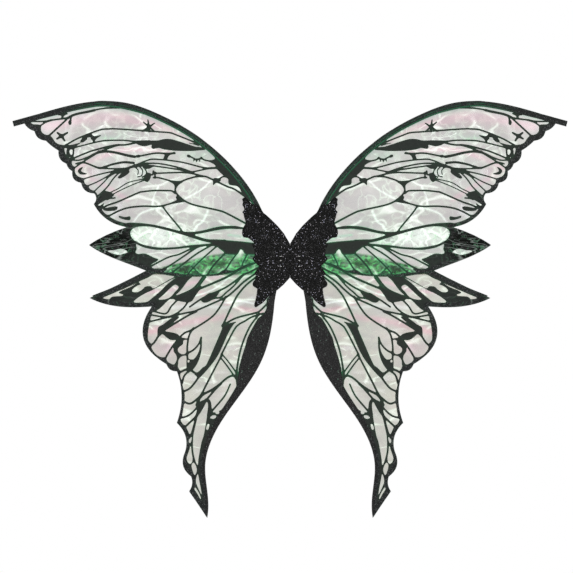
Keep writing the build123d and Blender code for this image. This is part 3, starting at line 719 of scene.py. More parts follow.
def flat_frame(path):
    """The in-plane normals of a path in x and z, and the way back along y."""
    ahead = unit(np.gradient(path, axis=0))
    normals = np.column_stack([-ahead[:, 1], np.zeros(len(path)), ahead[:, 0]])
    return normals, np.tile([0.0, 1.0, 0.0], (len(path), 1))


# Thickness of a stitch from end to end, and where along it
STITCH_SIZES = np.array([0.35, 0.85, 1, 0.85, 0.35])
STITCH_PLACES = np.array([0, 0.12, 0.5, 0.88, 1])
STITCH_SIDES = 6


def stitches(path, length, gap, radius):
    """Short rounded stitches laid along a path of 3-D points."""
    along = distances_along(path)
    made = []
    for start in np.arange(gap / 2, along[-1] - length, length + gap):
        places = start + length * STITCH_PLACES
        centre = np.column_stack([np.interp(places, along, path[:, k]) for k in range(3)])
        ahead = unit(centre[-1] - centre[0])
        across = unit(np.cross(ahead, [0, 1, 0]))
        up = np.cross(across, ahead)
        made.append(sweep(centre, np.tile(across, (5, 1)), np.tile(up, (5, 1)),
                          circle(radius, STITCH_SIDES), STITCH_SIZES))
    return merged(made)


def merged(parts):
    """Several point and face lists as one."""
    base = np.cumsum([0] + [len(points) for points, _ in parts])
    faces = [[start + v for v in face] for start, (_, part) in zip(base, parts)
             for face in part]
    return np.vstack([points for points, _ in parts]), faces


def two_materials(made, first, second, first_faces):
    """One material for the first faces of a mesh and another for the rest."""
    made.data.materials.append(first)
    made.data.materials.append(second)
    index = np.arange(len(made.data.polygons)) >= first_faces
    made.data.polygons.foreach_set("material_index", index.astype(np.int32))


def dress(piece, body, slot, *cad_nodes):
    """Says what a finished piece moves with and stands for; what it is made of, the slot, is not
    used.
    """
    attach(piece, body)
    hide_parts(*cad_nodes)


# ---------------------------------------------------------------------------------------------
# Materials

class Paint:
    """A Principled material, with short ways to add nodes to it."""

    def __init__(self, name, **constants):
        self.material = bpy.data.materials.new(name)
        self.material.use_nodes = True
        self.tree = self.material.node_tree
        self.shader = self.tree.nodes["Principled BSDF"]
        for socket, value in constants.items():
            self.shader.inputs[socket.replace("_", " ")].default_value = value

    def node(self, kind, inputs, **settings):
        """A shader node with its inputs set or linked."""
        made = self.tree.nodes.new("ShaderNode" + kind)
        for name, value in settings.items():
            setattr(made, name, value)
        for name, value in inputs.items():
            if isinstance(value, bpy.types.NodeSocket):
                self.tree.links.new(value, made.inputs[name])
            else:
                made.inputs[name].default_value = value
        return made

    def finish(self, **sockets):
        """Links the shader's sockets and gives the material."""
        for name, value in sockets.items():
            self.tree.links.new(value, self.shader.inputs[name.replace("_", " ")])
        return self.material

    def place(self):
        """Places on the object, in metres."""
        return self.node("TexCoord", {}).outputs["Object"]

    def mirror_place(self):
        """Places on the object, the same on the left side as on the right."""
        x, y, z = self.node("SeparateXYZ", {0: self.place()}).outputs
        return self.node("CombineXYZ", {0: self.maths("ABSOLUTE", x), 1: y, 2: z}).outputs[0]

    def stretched(self, place, degrees, scale):
        """Places turned in the wings' plane and stretched."""
        return self.node("Mapping", {"Vector": place, "Rotation": (0, radians(degrees), 0),
                                     "Scale": scale}).outputs[0]

    def noise(self, place, scale, detail=3.0, distortion=0.0, output="Fac"):
        return self.node("TexNoise", {
            "Vector": place, "Scale": scale, "Detail": detail,
            "Distortion": distortion}).outputs[output]

    def cells(self, place, scale):
        """Cells of noise: three random values for each, and the distance from its middle."""
        made = self.node("TexVoronoi", {"Vector": place, "Scale": scale}).outputs
        return *self.split(made["Color"]), made["Distance"]

    def warped(self, place, scale, amount):
        """Places pushed about by noise."""
        pushed = self.node("VectorMath", {
            0: self.noise(place, scale, 2, output="Color"), 1: (0.5, 0.5, 0.5)},
            operation="SUBTRACT").outputs[0]
        pushed = self.node("VectorMath", {0: pushed, 3: amount}, operation="SCALE").outputs[0]
        return self.node("VectorMath", {0: place, 1: pushed}, operation="ADD").outputs[0]

    def stored(self, layer):
        """A colour stored on the vertices."""
        return self.node("VertexColor", {}, layer_name=layer).outputs["Color"]

    def split(self, colour):
        """The red, green and blue of a colour."""
        return self.node("SeparateColor", {0: colour}).outputs

    def ramp(self, value, *stops):
        """A colour ramp: stops of position and grey level."""
        made = self.node("ValToRGB", {"Fac": value})
        elements = made.color_ramp.elements
        while len(elements) < len(stops):
            elements.new(0.5)
        for element, (position, level) in zip(elements, stops):
            element.position = position
            element.color = (level, level, level, 1)
        return made.outputs["Color"]

    def lines(self, place, scale, width, detail):
        """Smooth wandering lines, like light gathered by a crinkled film."""
        return self.ramp(self.noise(place, scale, detail), (0.5 - 2.4 * width, 0.0),
                         (0.5 - 0.5 * width, 0.75), (0.5, 1.0), (0.5 + 0.5 * width, 0.75),
                         (0.5 + 2.4 * width, 0.0))

    def mix(self, factor, a, b, blend_type="MIX"):
        """Two colours mixed; a colour is a socket or three numbers."""
        a, b = (c if isinstance(c, bpy.types.NodeSocket) else (*c, 1) for c in (a, b))
        return self.node("Mix", {0: factor, 6: a, 7: b}, data_type="RGBA",
                         blend_type=blend_type).outputs[2]

    def times(self, a, b):
        """Two colours multiplied."""
        return self.mix(1.0, a, b, "MULTIPLY")

    def maths(self, operation, a, b=0.0):
        return self.node("Math", {0: a, 1: b}, operation=operation).outputs[0]

    def scaled(self, value, factor, start=0.0):
        """A value times a factor, plus a start."""
        return self.maths("ADD", self.maths("MULTIPLY", value, factor), start)

    def bump(self, height, distance, strength):
        return self.node("Bump", {"Height": height, "Distance": distance,
                                  "Strength": strength}).outputs["Normal"]


def film_material():
    """Clear film that scatters pale lilac and green, with painted highlight lines where it
    crinkles and, where it is green, painted light and shade along its creases.
    """
    film = Paint("clear_film", IOR=1.5, Specular_IOR_Level=0.9, Thin_Film_Thickness=430,
                 Thin_Film_IOR=1.7)
    place = film.mirror_place()
    tint = film.stored("tint")
    highlight_strength, density, fineness = film.split(film.stored("shine"))
    drawn_out = film.stretched(place, 24, (0.72, 1.0, 1.45))
    bent = film.warped(drawn_out, 9.0, 0.05)

    # The bright crinkle lines are painted highlights, strongest where the stored strength is high
    broad = film.lines(bent, 14.0, 0.014, 1.6)
    second = film.lines(film.warped(drawn_out, 17.0, 0.035), 24.0, 0.013, 1.6)
    fine = film.lines(film.warped(place, 30.0, 0.025), 52.0, 0.030, 1.8)
    broad_places = film.ramp(film.noise(place, 9.0, 2), (0.32, 0.0), (0.46, 1.0))
    second_places = film.ramp(film.noise(bent, 14.0, 1), (0.46, 0.0), (0.58, 1.0))
    gaps = film.ramp(film.noise(bent, 42.0, 1), (0.36, 0.15), (0.52, 1.0))
    lines = film.maths("MAXIMUM", film.maths("MULTIPLY", broad, broad_places),
                       film.maths("MULTIPLY", second, second_places))
    lines = film.maths("MAXIMUM", film.maths("MULTIPLY", lines, gaps),
                       film.maths("MULTIPLY", fine, fineness))
    lit = film.maths("MULTIPLY", lines, highlight_strength)

    cloud = film.noise(bent, 22.0, 3, 0.6)
    colour = film.mix(film.ramp(cloud, (0.36, 0.0), (0.64, 1.0)),
                      film.times(tint, (0.74, 0.74, 0.76)), film.times(tint, (1.24, 1.26, 1.24)))
    red, green, _ = film.split(tint)
    greenness = film.ramp(film.maths("SUBTRACT", green, red), (0.06, 0.0), (0.14, 1.0))
    # Where the film is green: painted shade and painted highlights along its creases
    creases = film.noise(film.warped(drawn_out, 60.0, 0.02), 150.0, 2.0, 0.8)
    shaded = film.mix(film.ramp(creases, (0.38, 0.0), (0.47, 1.0)), (0.14, 0.22, 0.14), (1, 1, 1))
    crease_light_and_shade = film.mix(film.ramp(creases, (0.57, 0.0), (0.64, 0.75)),
                       film.times(colour, shaded), (0.12, 0.68, 0.18))
    colour = film.mix(greenness, colour, crease_light_and_shade)
    # Painted highlight colour: a white core with a green edge; the highlights are also made more
    # opaque
    fringe = film.mix(0.5, (0.50, 0.78, 0.58), film.times(tint, (2.4, 2.8, 2.4)))
    painted_highlight_colour = film.mix(lit, fringe, (1.0, 1.0, 0.98))
    colour = film.mix(film.ramp(lit, (0.0, 0.0), (0.45, 0.9)), colour, painted_highlight_colour)

    height = film.maths("ADD", film.maths("MULTIPLY", lines, 0.25),
                        film.noise(bent, 30.0, 0.6, 0.5))
    return film.finish(
        Base_Color=colour, Alpha=film.maths("ADD", density, film.maths("MULTIPLY", lit, 0.3)),
        Roughness=film.scaled(cloud, 0.16, 0.17), Normal=film.bump(height, 0.0016, 0.4))


def print_material():
    """Near-black ink, speckled on the border, with a painted green glint along its rims, and
    glossy and crumpled at the lobe's tip, where painted glints and highlight streaks lie on it.
    """
    ink = Paint("vein_print", Specular_IOR_Level=0.13)
    place = ink.mirror_place()
    border, gloss, rim = ink.split(ink.stored("zone"))
    grain = ink.noise(place, 240.0, 4, 0.6)
    flake = ink.cells(place, 900.0)[0]
    speckled = ink.mix(grain, (0.003, 0.004, 0.004), (0.020, 0.022, 0.022))
    speckled = ink.mix(ink.ramp(flake, (0.80, 0.0), (0.95, 1.0)), speckled, (0.085, 0.09, 0.09))
    colour = ink.mix(grain, (0.010, 0.012, 0.010), (0.028, 0.036, 0.030))
    colour = ink.mix(border, colour, speckled)
    # Painted green glint along the rims
    colour = ink.mix(rim, colour, (0.012, 0.17, 0.06))

    # Painted highlights on the glossy crumpled tip: green glints and grey streaks
    glints = ink.ramp(ink.noise(ink.warped(place, 60.0, 0.02), 110.0, 2, 1.2),
                      (0.56, 0.0), (0.66, 1.0))
    drawn_out = ink.stretched(place, -14, (0.4, 1.0, 1.6))
    highlight_streaks = ink.lines(ink.warped(drawn_out, 24.0, 0.03), 58.0, 0.013, 1.6)
    colour = ink.mix(gloss, colour, (0.002, 0.003, 0.002))
    colour = ink.mix(ink.maths("MULTIPLY", glints, gloss), colour, (0.05, 0.12, 0.07))
    colour = ink.mix(ink.maths("MULTIPLY", highlight_streaks, gloss), colour, (0.20, 0.23, 0.21))
    rough = ink.maths("SUBTRACT", ink.scaled(grain, 0.3, 0.42), ink.maths("MULTIPLY", gloss, 0.38))
    return ink.finish(Base_Color=colour, Roughness=rough, Normal=ink.bump(grain, 0.0004, 0.5))


def glitter_material(name, ground, spark_share, bright, tones, specular):
    """Packed glitter flakes, each with its own shade and tilt, and a few painted bright as sparkle
    highlights.
    """
    glitter = Paint(name, Specular_IOR_Level=specular)
    place = glitter.mirror_place()
    shade, polish, tilt, from_middle = glitter.cells(place, 1400.0)
    _, chance, hue, from_spark = glitter.cells(place, 840.0)
    dull = glitter.ramp(shade, (0.0, ground), (0.7, ground * 1.8), (0.9, ground * 4), (1.0, 0.09))
    # The sparks are painted highlights: a few flakes coloured bright
    spark = glitter.ramp(chance, (0.0, 0.0), (1 - spark_share, 0.0), (1.01 - spark_share, 1.0))
    spark = glitter.maths("MULTIPLY", spark, glitter.ramp(from_spark, (0.30, 1.0), (0.48, 0.0)))
    colour = glitter.mix(glitter.maths("MULTIPLY", spark, bright), dull,
                         glitter.mix(hue, *tones))
    height = glitter.maths("SUBTRACT", tilt, from_middle)
    return glitter.finish(Base_Color=colour, Roughness=glitter.scaled(polish, 0.5, 0.18),
                          Normal=glitter.bump(height, 0.0005, 0.9))


def binding_material():
    """Woven binding, black outside and dark green inside by vertex colour."""
    cloth = Paint("edge_binding", Specular_IOR_Level=0.25)
    place = cloth.mirror_place()
    grain = cloth.noise(place, 420.0, 3, 0.4)
    shade = cloth.mix(grain, (0.35, 0.35, 0.35), (1.7, 1.7, 1.7))
    weave = cloth.cells(place, 1500.0)[3]
    return cloth.finish(
        Base_Color=cloth.times(cloth.stored("zone"), shade),
        Roughness=cloth.scaled(grain, 0.3, 0.34), Normal=cloth.bump(weave, 0.0004, 0.5))


def elastic_material():
    """Flat black elastic: fine knit over the lengthwise ribs of the mesh."""
    cloth = Paint("elastic")
    place = cloth.mirror_place()
    grain = cloth.noise(place, 900.0, 3)
    knit = cloth.cells(place, 1300.0)[3]
    return cloth.finish(
        Base_Color=cloth.mix(grain, (0.006, 0.006, 0.007), (0.032, 0.032, 0.036)),
        Roughness=cloth.scaled(grain, 0.25, 0.6), Normal=cloth.bump(knit, 0.0005, 0.8))


def felt_material():
    """Soft dark felt of the pad's cover."""
    cloth = Paint("pad_cover", Sheen_Weight=0.35)
    place = cloth.mirror_place()
    fibres = cloth.noise(place, 1100.0, 4, 2.0)
    mottle = cloth.ramp(cloth.noise(place, 90.0, 3), (0.35, 0.0), (0.7, 0.5))
    colour = cloth.mix(fibres, (0.008, 0.008, 0.009), (0.045, 0.045, 0.05))
    return cloth.finish(
        Base_Color=cloth.mix(mottle, colour, (0.035, 0.035, 0.04)),
        Roughness=cloth.scaled(fibres, 0.15, 0.8), Normal=cloth.bump(fibres, 0.0006, 0.8))


def hard_material(name, low, high, roughness, metallic=0.0, scale=300.0):
    """Moulded plastic or metal with a fine grain and faint scuffs; low and high are greys."""
    hard = Paint(name, Metallic=metallic)
    place = hard.mirror_place()
    grain = hard.noise(place, scale, 4)
    scuffs = hard.noise(hard.warped(place, 30.0, 0.02), 160.0, 5, 4.0)
    scuffs = hard.ramp(scuffs, (0.55, 0.0), (0.68, 0.6))
    colour = hard.mix(scuffs, hard.mix(grain, low, high), [1.5 * c + 0.01 for c in high])
    return hard.finish(Base_Color=colour, Roughness=hard.scaled(scuffs, 0.25, roughness),
                       Normal=hard.bump(grain, 0.0002, 0.4))


def thread_material(name, low, high):
    """Twisted sewing thread."""
    thread = Paint(name)
    twist = thread.node("TexWave", {
        "Vector": thread.mirror_place(), "Scale": 900.0, "Distortion": 1.5, "Detail": 1.0},
        bands_direction="DIAGONAL").outputs["Fac"]
    return thread.finish(Base_Color=thread.mix(twist, low, high),
                         Normal=thread.bump(twist, 0.0002, 0.6),
                         Roughness=thread.scaled(twist, 0.2, 0.4))


clear_film = film_material()
vein_print = print_material()
glitter_foam = glitter_material("glitter_foam", 0.0014, 0.05, 0.8,
                                ((0.72, 0.76, 1.0), (1.0, 0.92, 0.97)), 0.14)
glitter_print = glitter_material("glitter_print", 0.006, 0.035, 0.35,
                                 ((0.45, 0.95, 0.65), (0.90, 1.0, 0.95)), 0.25)
edge_binding = binding_material()
elastic = elastic_material()
pad_cover = felt_material()
moulded_plastic = hard_material("moulded_plastic", (0.010, 0.010, 0.011),
                                (0.022, 0.022, 0.024), 0.42)
slider_plastic = hard_material("slider_plastic", (0.008, 0.008, 0.009),
                               (0.016, 0.016, 0.018), 0.22)
wire = hard_material("wire", (0.35, 0.35, 0.36), (0.55, 0.55, 0.56), 0.28, 1.0, 700.0)
rivet_metal = hard_material("rivet_metal", (0.20, 0.20, 0.21), (0.40, 0.40, 0.42),
                            0.32, 1.0, 500.0)
bright_thread = thread_material("thread", (0.45, 0.46, 0.44), (0.85, 0.86, 0.82))
dark_thread = thread_material("dark_thread", (0.030, 0.045, 0.038), (0.11, 0.15, 0.12))


# ---------------------------------------------------------------------------------------------
# The two printed sheets of a wing

# Plain colour of each sheet's film
FILM_BASES = {"upper": (0.262, 0.238, 0.208), "lower": (0.260, 0.228, 0.160)}
PINK = (0.46, 0.20, 0.255)
ROSE = (0.44, 0.125, 0.165)
GREEN = (0.10, 0.30, 0.17)
PALE = (0.46, 0.46, 0.42)
# Painted highlight where the film crinkles most
PALE_GREEN_HIGHLIGHT = (0.60, 0.76, 0.62)
# Painted highlight along a crease in the film
CREASE_HIGHLIGHT = (0.84, 0.94, 0.86)
LOBE_GREEN = (0.04, 0.32, 0.12)
ROOT_GREEN = (0.01, 0.30, 0.06)
POINT_GREEN = (0.02, 0.28, 0.08)
BINDING_GREEN = (0.02, 0.16, 0.08)
# Painted green glint along the rims of the print
RIM_GREEN = (0.10, 0.42, 0.22)
# Film over film beside the centre: flat places, lit creases and shaded creases
DOUBLED_GREEN = (0.002, 0.17, 0.014)
DOUBLED_LIT = (0.05, 0.50, 0.10)
DOUBLED_SHADED = (0.001, 0.025, 0.005)

# Soft coloured places in the film: colour, then centre and reach across and up; the pale green
# ones are painted highlights
FILM_SPOTS = [
    (PINK, 285, 232, 60, 12), (PINK, 390, 221, 22, 8), (PINK, 330, 150, 20, 26),
    (PINK, 196, -140, 22, 12), (GREEN, 150, 170, 22, 10), (GREEN, 300, 200, 26, 6),
    (PALE, 150, 112, 45, 24), (LOBE_GREEN, 279, 16, 8, 8), (GREEN, 62, -10, 26, 14),
    (PALE_GREEN_HIGHLIGHT, 46, -67, 9, 8), (PALE_GREEN_HIGHLIGHT, 208, 41, 50, 12), (PALE_GREEN_HIGHLIGHT, 235, 44, 26, 14),
    (PALE_GREEN_HIGHLIGHT, 160, 32, 26, 7),
]
# Soft coloured streaks: colour, half width and route; the white crease streaks are painted
# highlights
FILM_STREAKS = [
    (PINK, 7, [(160, 196), (200, 216), (260, 230), (330, 231), (395, 218)]),
    (ROSE, 5.5, [(98, -90), (150, -97), (200, -107), (240, -118)]),
    (ROSE, 4.2, [(46, -83), (80, -77), (120, -62), (150, -50)]),
    (PINK, 3, [(110, -24), (160, -36), (200, -48), (240, -50)]),
    (PINK, 4, [(196, 176), (260, 182), (310, 168), (345, 150)]),
    (PINK, 4, [(265, 100), (300, 122), (335, 140)]),
    (PALE, 3, [(60, -60), (100, -75), (150, -72), (190, -76)]),
    (GREEN, 2.5, [(59, 27), (66, 34), (80, 40), (100, 42)]),
    (GREEN, 3, [(118, -20), (160, -22), (200, -17)]),
    (ROOT_GREEN, 2.6, [(35, -56), (37, -66), (41, -76)]),
    (POINT_GREEN, 2.0, [(236, -20), (262, -32), (290, -45), (316, -58)]),
    (CREASE_HIGHLIGHT, 1.3, [(112, 138), (129, 130), (144, 116), (171, 101)]),
    (CREASE_HIGHLIGHT, 1.5, [(134, 81), (141, 66), (152, 56), (159, 41)]),
    (CREASE_HIGHLIGHT, 1.4, [(194, 73), (211, 86), (241, 78), (256, 61)]),
    (CREASE_HIGHLIGHT, 1.2, [(214, 121), (221, 106), (224, 91)]),
    (CREASE_HIGHLIGHT, 1.4, [(59, -69), (82, -65), (104, -68), (124, -61)]),
    (CREASE_HIGHLIGHT, 1.2, [(97, -24), (121, -44), (152, -56), (186, -59)]),
]
# Places where the painted highlight lines are stronger or weaker: centre, reach, strength,
# fineness
FILM_HIGHLIGHT_PLACES = [
    (205, 40, 55, 16, 0.8, 1.1), (250, 185, 90, 50, 0.35, 0.3), (170, 105, 90, 45, 0.55, 0.25),
    (130, -120, 60, 60, 0.15, 0.0), (275, 15, 14, 8, 0.7, 0.8), (140, -2, 75, 14, -0.46, 0.5),
]


def green_rims(x, z):
    """How green the light is along the rims of the print: most near the root and edges."""
    near = (0.9 * spot(x, z, 90, 15, 110, 60) + 0.5 * spot(x, z, 70, -150, 50, 110)
            + 0.8 * spot(x, z, 262, 38, 50, 30))
    return np.clip(0.18 + near, 0, 1) * (0.6 + 0.4 * waves(x, z, 14, 14))


def doubled(x, z):
    """Where the two sheets lie over each other beside the centre."""
    top = 14 - 20 * ease(x, 105, 215)
    return ease(z, -25, -20) * ease(top - z, 0, 4) * ease(-x, -214, -185)


def film_colours(film, x, z, base, clearance):
    """Stores the film's tint, with painted highlights and painted crease shade in it, the strength
    and fineness of its painted highlight lines and its density.
    """
    tint = np.tile(np.array(base), (len(x), 1))

    def lay(colour, weight):
        weight = weight[:, None]
        tint[:] = tint * (1 - weight) + np.array(colour) * weight

    uneven = 0.62 + 0.3 * waves(x, z, 16, 13)
    for colour, *place in FILM_SPOTS:
        lay(colour, spot(x, z, *place) * uneven)
    for colour, half_width, route in FILM_STREAKS:
        away = line_distance(x, z, smooth(route, 6))
        lay(colour, np.clip(np.exp(-(away / half_width) ** 2) * (uneven + 0.45), 0, 0.95))
    binding = line_distance(x, z, smooth(BINDING, 6))
    lay(BINDING_GREEN, np.exp(-np.maximum(binding - 5, 0) / 2.6) * 0.85)
    over = doubled(x, z)
    lay(DOUBLED_GREEN, over * (0.88 + 0.12 * waves(x, z, 9, 15)))
    lit = ease(waves(x + 0.6 * z, 1.4 * z - 0.4 * x, 4.0, 17), 0.25, 0.6)
    lay(DOUBLED_LIT, over * lit * 0.75)
    shaded = ease(waves(x + 0.8 * z, z - 0.5 * x, 4.5, 16), 0.05, 0.5)
    lay(DOUBLED_SHADED, over * shaded * 0.9)
    # Painted green glint on the film along the print's rims, which also makes the film a little
    # denser there
    fringe = np.exp(-np.maximum(clearance, 0) / 1.5) * green_rims(x, z)
    lay(RIM_GREEN, fringe * 0.8)
    tint *= 1 + np.array([0.10, -0.03, 0.04]) * waves(x, z, 30, 11)[:, None]
    # Strength and fineness of the painted highlight lines
    strength, fineness = 0.55, 0.16
    for *place, stronger, finer in FILM_HIGHLIGHT_PLACES:
        strength = strength + stronger * spot(x, z, *place)
        fineness = fineness + finer * spot(x, z, *place)
    density = 0.58 + 0.05 * waves(x, z, 24, 12) + 0.36 * over + 0.15 * fringe
    colours(film, "tint", np.clip(tint, 0, 1))
    colours(film, "shine", np.clip(np.column_stack([strength, density, fineness]), 0, 1))


FILM_INSET = 0.4  # from the print's outer edge to the film's


class Sheet:
    """A wing's sheet of film and the print on it, drawn once for both sides."""

    def __init__(self, kind, flat, area, rods, windows, strokes, patches, openings):
        self.kind, self.flat, self.area, self.rods = kind, flat, area, rods
        shape = outline(f"right_{kind}_film")
        self.y = box_middle(f"right_{kind}_film")[1]
        self.grid = Grid(shape, SHEET_GRID)
        self.edge = area_distance(self.grid, shape)
        self.dark = print_distance(self.grid, self.edge, INK_SPREAD[kind], windows, strokes,
                                   patches, openings)
        self.film = Contour(self.grid, self.edge + FILM_INSET)
        self.veins = Contour(self.grid, self.dark)

    def height(self, contour):
        """The film's y at a contour's points."""
        x, z = contour.x, contour.z
        return self.y + crinkle(x, z) + curl(contour.value(self.edge), x, z)

    def build(self, side_name, side):
        """The film, and the raised print that goes through it."""
        name, body = f"{side_name}_{self.kind}", f"{side_name}_wing"
        film, veins = self.film, self.veins
        points = np.column_stack([film.x, self.height(film), film.z])
        clear = add_mesh(f"{name}_film_sheet", points, face_lists(film.faces), side)
        film_colours(clear, film.x, film.z, FILM_BASES[self.kind], film.value(self.dark))
        clear.data.materials.append(clear_film)
        dress(clear, body, "clear_film", f"{name}_film")

        depth, edge, y = -veins.value(self.dark), veins.value(self.edge), self.height(veins)
        raised = add_mesh(f"{name}_vein_print", *skin(
            veins, y - rounded(depth, *PRINT_FRONT), y + rounded(depth, *PRINT_BACK)), side)
        # Glossy crumpled tips: lower roughness and painted highlights
        gloss = np.clip(spot(veins.x, veins.z, *LOBE_TIP, 36, 32) * 1.6, 0, 1)
        border = ease(edge, -9.5, -6.5) * (1 - 0.8 * gloss)
        gloss = np.maximum(gloss, 0.5 * spot(veins.x, veins.z, 290, -66, 45, 12))
        # Painted green glint along the print's rims
        rim = np.exp(-np.maximum(depth, 0) / 0.7) * green_rims(veins.x, veins.z)
        colours(raised, "zone", np.tile(np.column_stack([border, gloss, rim]), (2, 1)))
        raised.data.materials.append(vein_print)
        dress(raised, body, "vein_print", f"{name}_veins")


BAND_BACK = 0.30  # from the film's middle to the glitter band's back


def build_band(side_name, side, sheet):
    """Glitter band printed down the inside of the tail."""
    closed = np.vstack([smooth(BAND_INNER, 3), BAND_OUTER])
    field = np.maximum(area_distance(sheet.grid, closed), sheet.edge)
    band = Contour(sheet.grid, field)
    y = sheet.height(band)
    piece = add_mesh(f"{side_name}_tail_glitter_band", *skin(
        band, y - rounded(-band.value(field), *BAND_FRONT), y - BAND_BACK), side)
    piece.data.materials.append(glitter_print)
    dress(piece, f"{side_name}_wing", "glitter_print", f"{side_name}_tail_band")


# ---------------------------------------------------------------------------------------------
# Bindings and sleeves round the wires

def arc(centre, reach, start, end, count):
    """Points on part of an ellipse, between two angles in degrees."""
    turn = np.radians(np.linspace(start, end, count))
    return np.array(centre) + np.array(reach) * np.column_stack([np.cos(turn), np.sin(turn)])


# Section of the leading edge's binding: flat flange inside, round channel outside
BINDING_SECTION = np.vstack([
    [(-4.75, -2.4), (-4.45, -2.85), (-2.3, -2.85)], arc((1.45, 0), (3.3, -2.65), 150, -150, 15),
    [(-2.3, -1.45), (-4.45, -1.45), (-4.75, -1.8)]])
# Section of a sewn sleeve: a channel behind two flanges that lie on the film
SLEEVE_SECTION = np.vstack([
    [(-3.25, -1.0), (-3.1, -1.15), (3.1, -1.15), (3.25, -1.0), (3.1, -0.85)],
    arc((0, -0.9), (1.9, 2.2), 35, 145, 8), [(-3.1, -0.85)]])
# Rows of stitches on each section
BINDING_SEAMS = [(-3.3, -2.95)]
SLEEVE_SEAMS = [(-2.6, -0.7), (2.6, -0.7)]
WIRE_Y = box_middle("right_upper_rod")[1]
BINDING_OUTER = np.array([0.003, 0.004, 0.004])
BINDING_INNER = np.array([0.004, 0.075, 0.030])


def build_wrap(side_name, side, kind, route, section, seams):
    """Fabric round a wire, with its rows of stitches; only the upper one has a green side."""
    path = smooth(route, 3)
    line = np.insert(path, 1, WIRE_Y, axis=1)
    normals, back = flat_frame(path)
    cloth, faces = sweep(line, normals, back, section)
    cloth[:, 1] += 0.22 * waves(cloth[:, 0], cloth[:, 2], 5, 21)
    threads = [stitches(line + across * normals + depth * back, *WRAP_STITCH)
               for across, depth in seams]
    cloth_faces = len(faces)
    points, faces = merged([(cloth, faces), *threads])
    made = add_mesh(f"{side_name}_{kind}_wrap", points, faces, side, outward=True)
    share = np.ones((len(cloth), 1))
    if kind == "upper":
        across, outward = np.tile(section[:, 0], len(path)), np.repeat(path[:, 0], len(section))
        share = np.maximum(ease(across, 0.4, 1.2), ease(outward, 310, 380))[:, None]
    shade = np.zeros((len(points), 3))
    shade[:len(cloth)] = BINDING_INNER * (1 - share) + BINDING_OUTER * share
    colours(made, "zone", shade)
    two_materials(made, edge_binding, dark_thread, cloth_faces)
    dress(made, f"{side_name}_wing", "edge_binding", f"{side_name}_{kind}_sleeve")


# ---------------------------------------------------------------------------------------------
# The centre: covers, stitches, pad and arm loops

COVER_BACK = box("right_front_panel")[1][1]
# The stitches beside the neck: ends across, y and heights
ROOT_SEAM, ROOT_SEAM_Y, ROOT_HEIGHTS = (13.1, 17.1), -15.95, (7.6, 1.0, -9.0)


def draw_cover():
    """The contour of half the glitter cover, cut on the centre line, and its face's y."""
    line = np.array([(-9, 28), *COVER_OUTER_TOP, *COVER_EDGE, *COVER_OUTER_BOTTOM, (-9, -27)],
                    float)
    grid = Grid(line, COVER_GRID)
    field = area_distance(grid, line)
    half = Contour(grid, np.maximum(field, -grid.x))
    depth = -half.value(field)
    lumps = 0.22 * waves(half.x, half.z, 17, 31) + 0.10 * waves(half.x, half.z, 6, 32)
    return half, COVER_BACK - rounded(depth, *COVER_FRONT) - lumps * ease(depth, 0, 6)


def build_cover(side_name, side, half, face_y):
    """Half of the glitter foam cover, with sharp edges on the centre line."""
    made = add_mesh(f"{side_name}_glitter_cover", *skin(half, face_y, COVER_BACK), side)
    made.data.materials.append(glitter_foam)
    seam = [abs(vertex.co.x) < 0.01 * MM for vertex in made.data.vertices]
    for edge in made.data.edges:
        edge.use_edge_sharp = all(seam[vertex] for vertex in edge.vertices)
    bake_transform(made)
    shared = ["spine_cover"] if side > 0 else []
    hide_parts(f"{side_name}_front_panel", *shared)


def build_root_stitches(side_name, side):
    """Three short bright stitches beside the neck."""
    rows = [stitches(np.array([(x, ROOT_SEAM_Y, z) for x in ROOT_SEAM]), *ROOT_STITCH)
            for z in ROOT_HEIGHTS]
    made = add_mesh(f"{side_name}_root_thread", *merged(rows), side, outward=True)
    made.data.materials.append(bright_thread)
    dress(made, f"{side_name}_wing", "thread", f"{side_name}_root_stitches")


def rounded_box(centre, width, height, corner):
    """A flat outline with rounded corners, in x and z."""
    centre, inner = np.array(centre), np.array([width / 2 - corner, height / 2 - corner])
    return np.vstack([arc(centre + inner * way, (corner, corner), start, start + 90, 7)
                      for way, start in (((1, 1), 0), ((-1, 1), 90), ((-1, -1), 180),
                                         ((1, -1), 270))])


# The pad: corner radius, and how far in from its CAD box its seam and sewn channel are
PAD_CORNER = 8
PAD_INSET = 0.8
PAD_CHANNEL = 9.0
PIPING = circle(1.05, 12)


def build_pad():
    """The crowned pad between the shoulder blades, with piping round its seam."""
    low, high = box("back_pad")
    width, _, height = high - low
    centre, foot = box_middle("back_pad")[[0, 2]], low[1]
    shape = rounded_box(centre, width - 2 * PAD_INSET, height - 2 * PAD_INSET, PAD_CORNER)
    grid = Grid(shape, PAD_GRID)
    field = area_distance(grid, shape)
    top = Contour(grid, field)
    depth = -top.value(field)
    puckers = 0.30 * waves(top.x * 1.6, top.z * 1.6, 5, 41) * np.exp(-depth / 5)
    channel = 0.9 * np.exp(-((depth - 8.5) / 0.9) ** 2)
    crown = rounded(depth, *PAD_CROWN) - channel - puckers + 0.12 * waves(top.x, top.z, 7, 42)
    cushion = add_mesh("back_pad_cushion", *skin(top, foot + 0.05, foot + crown), 1)
    cushion.data.materials.append(pad_cover)
    dress(cushion, "harness", "pad_cover", "back_pad")

    ring = smooth(np.vstack([shape, shape[:1]]), 2)
    path = np.insert(ring, 1, foot + 1.3, axis=1)
    cord = sweep(path, *flat_frame(ring), PIPING, closed_ends=False)
    channel_line = rounded_box(centre, width - 2 * PAD_CHANNEL, height - 2 * PAD_CHANNEL,
                               PAD_CORNER / 2)
    seam = np.insert(np.vstack([channel_line, channel_line[:1]]), 1, foot + 4.1, axis=1)
    piping = add_mesh("back_pad_piping", *merged([cord, stitches(seam, *PAD_STITCH)]), 1,
                      outward=True)
    two_materials(piping, elastic, dark_thread, len(cord[1]))
    piping.parent = cushion


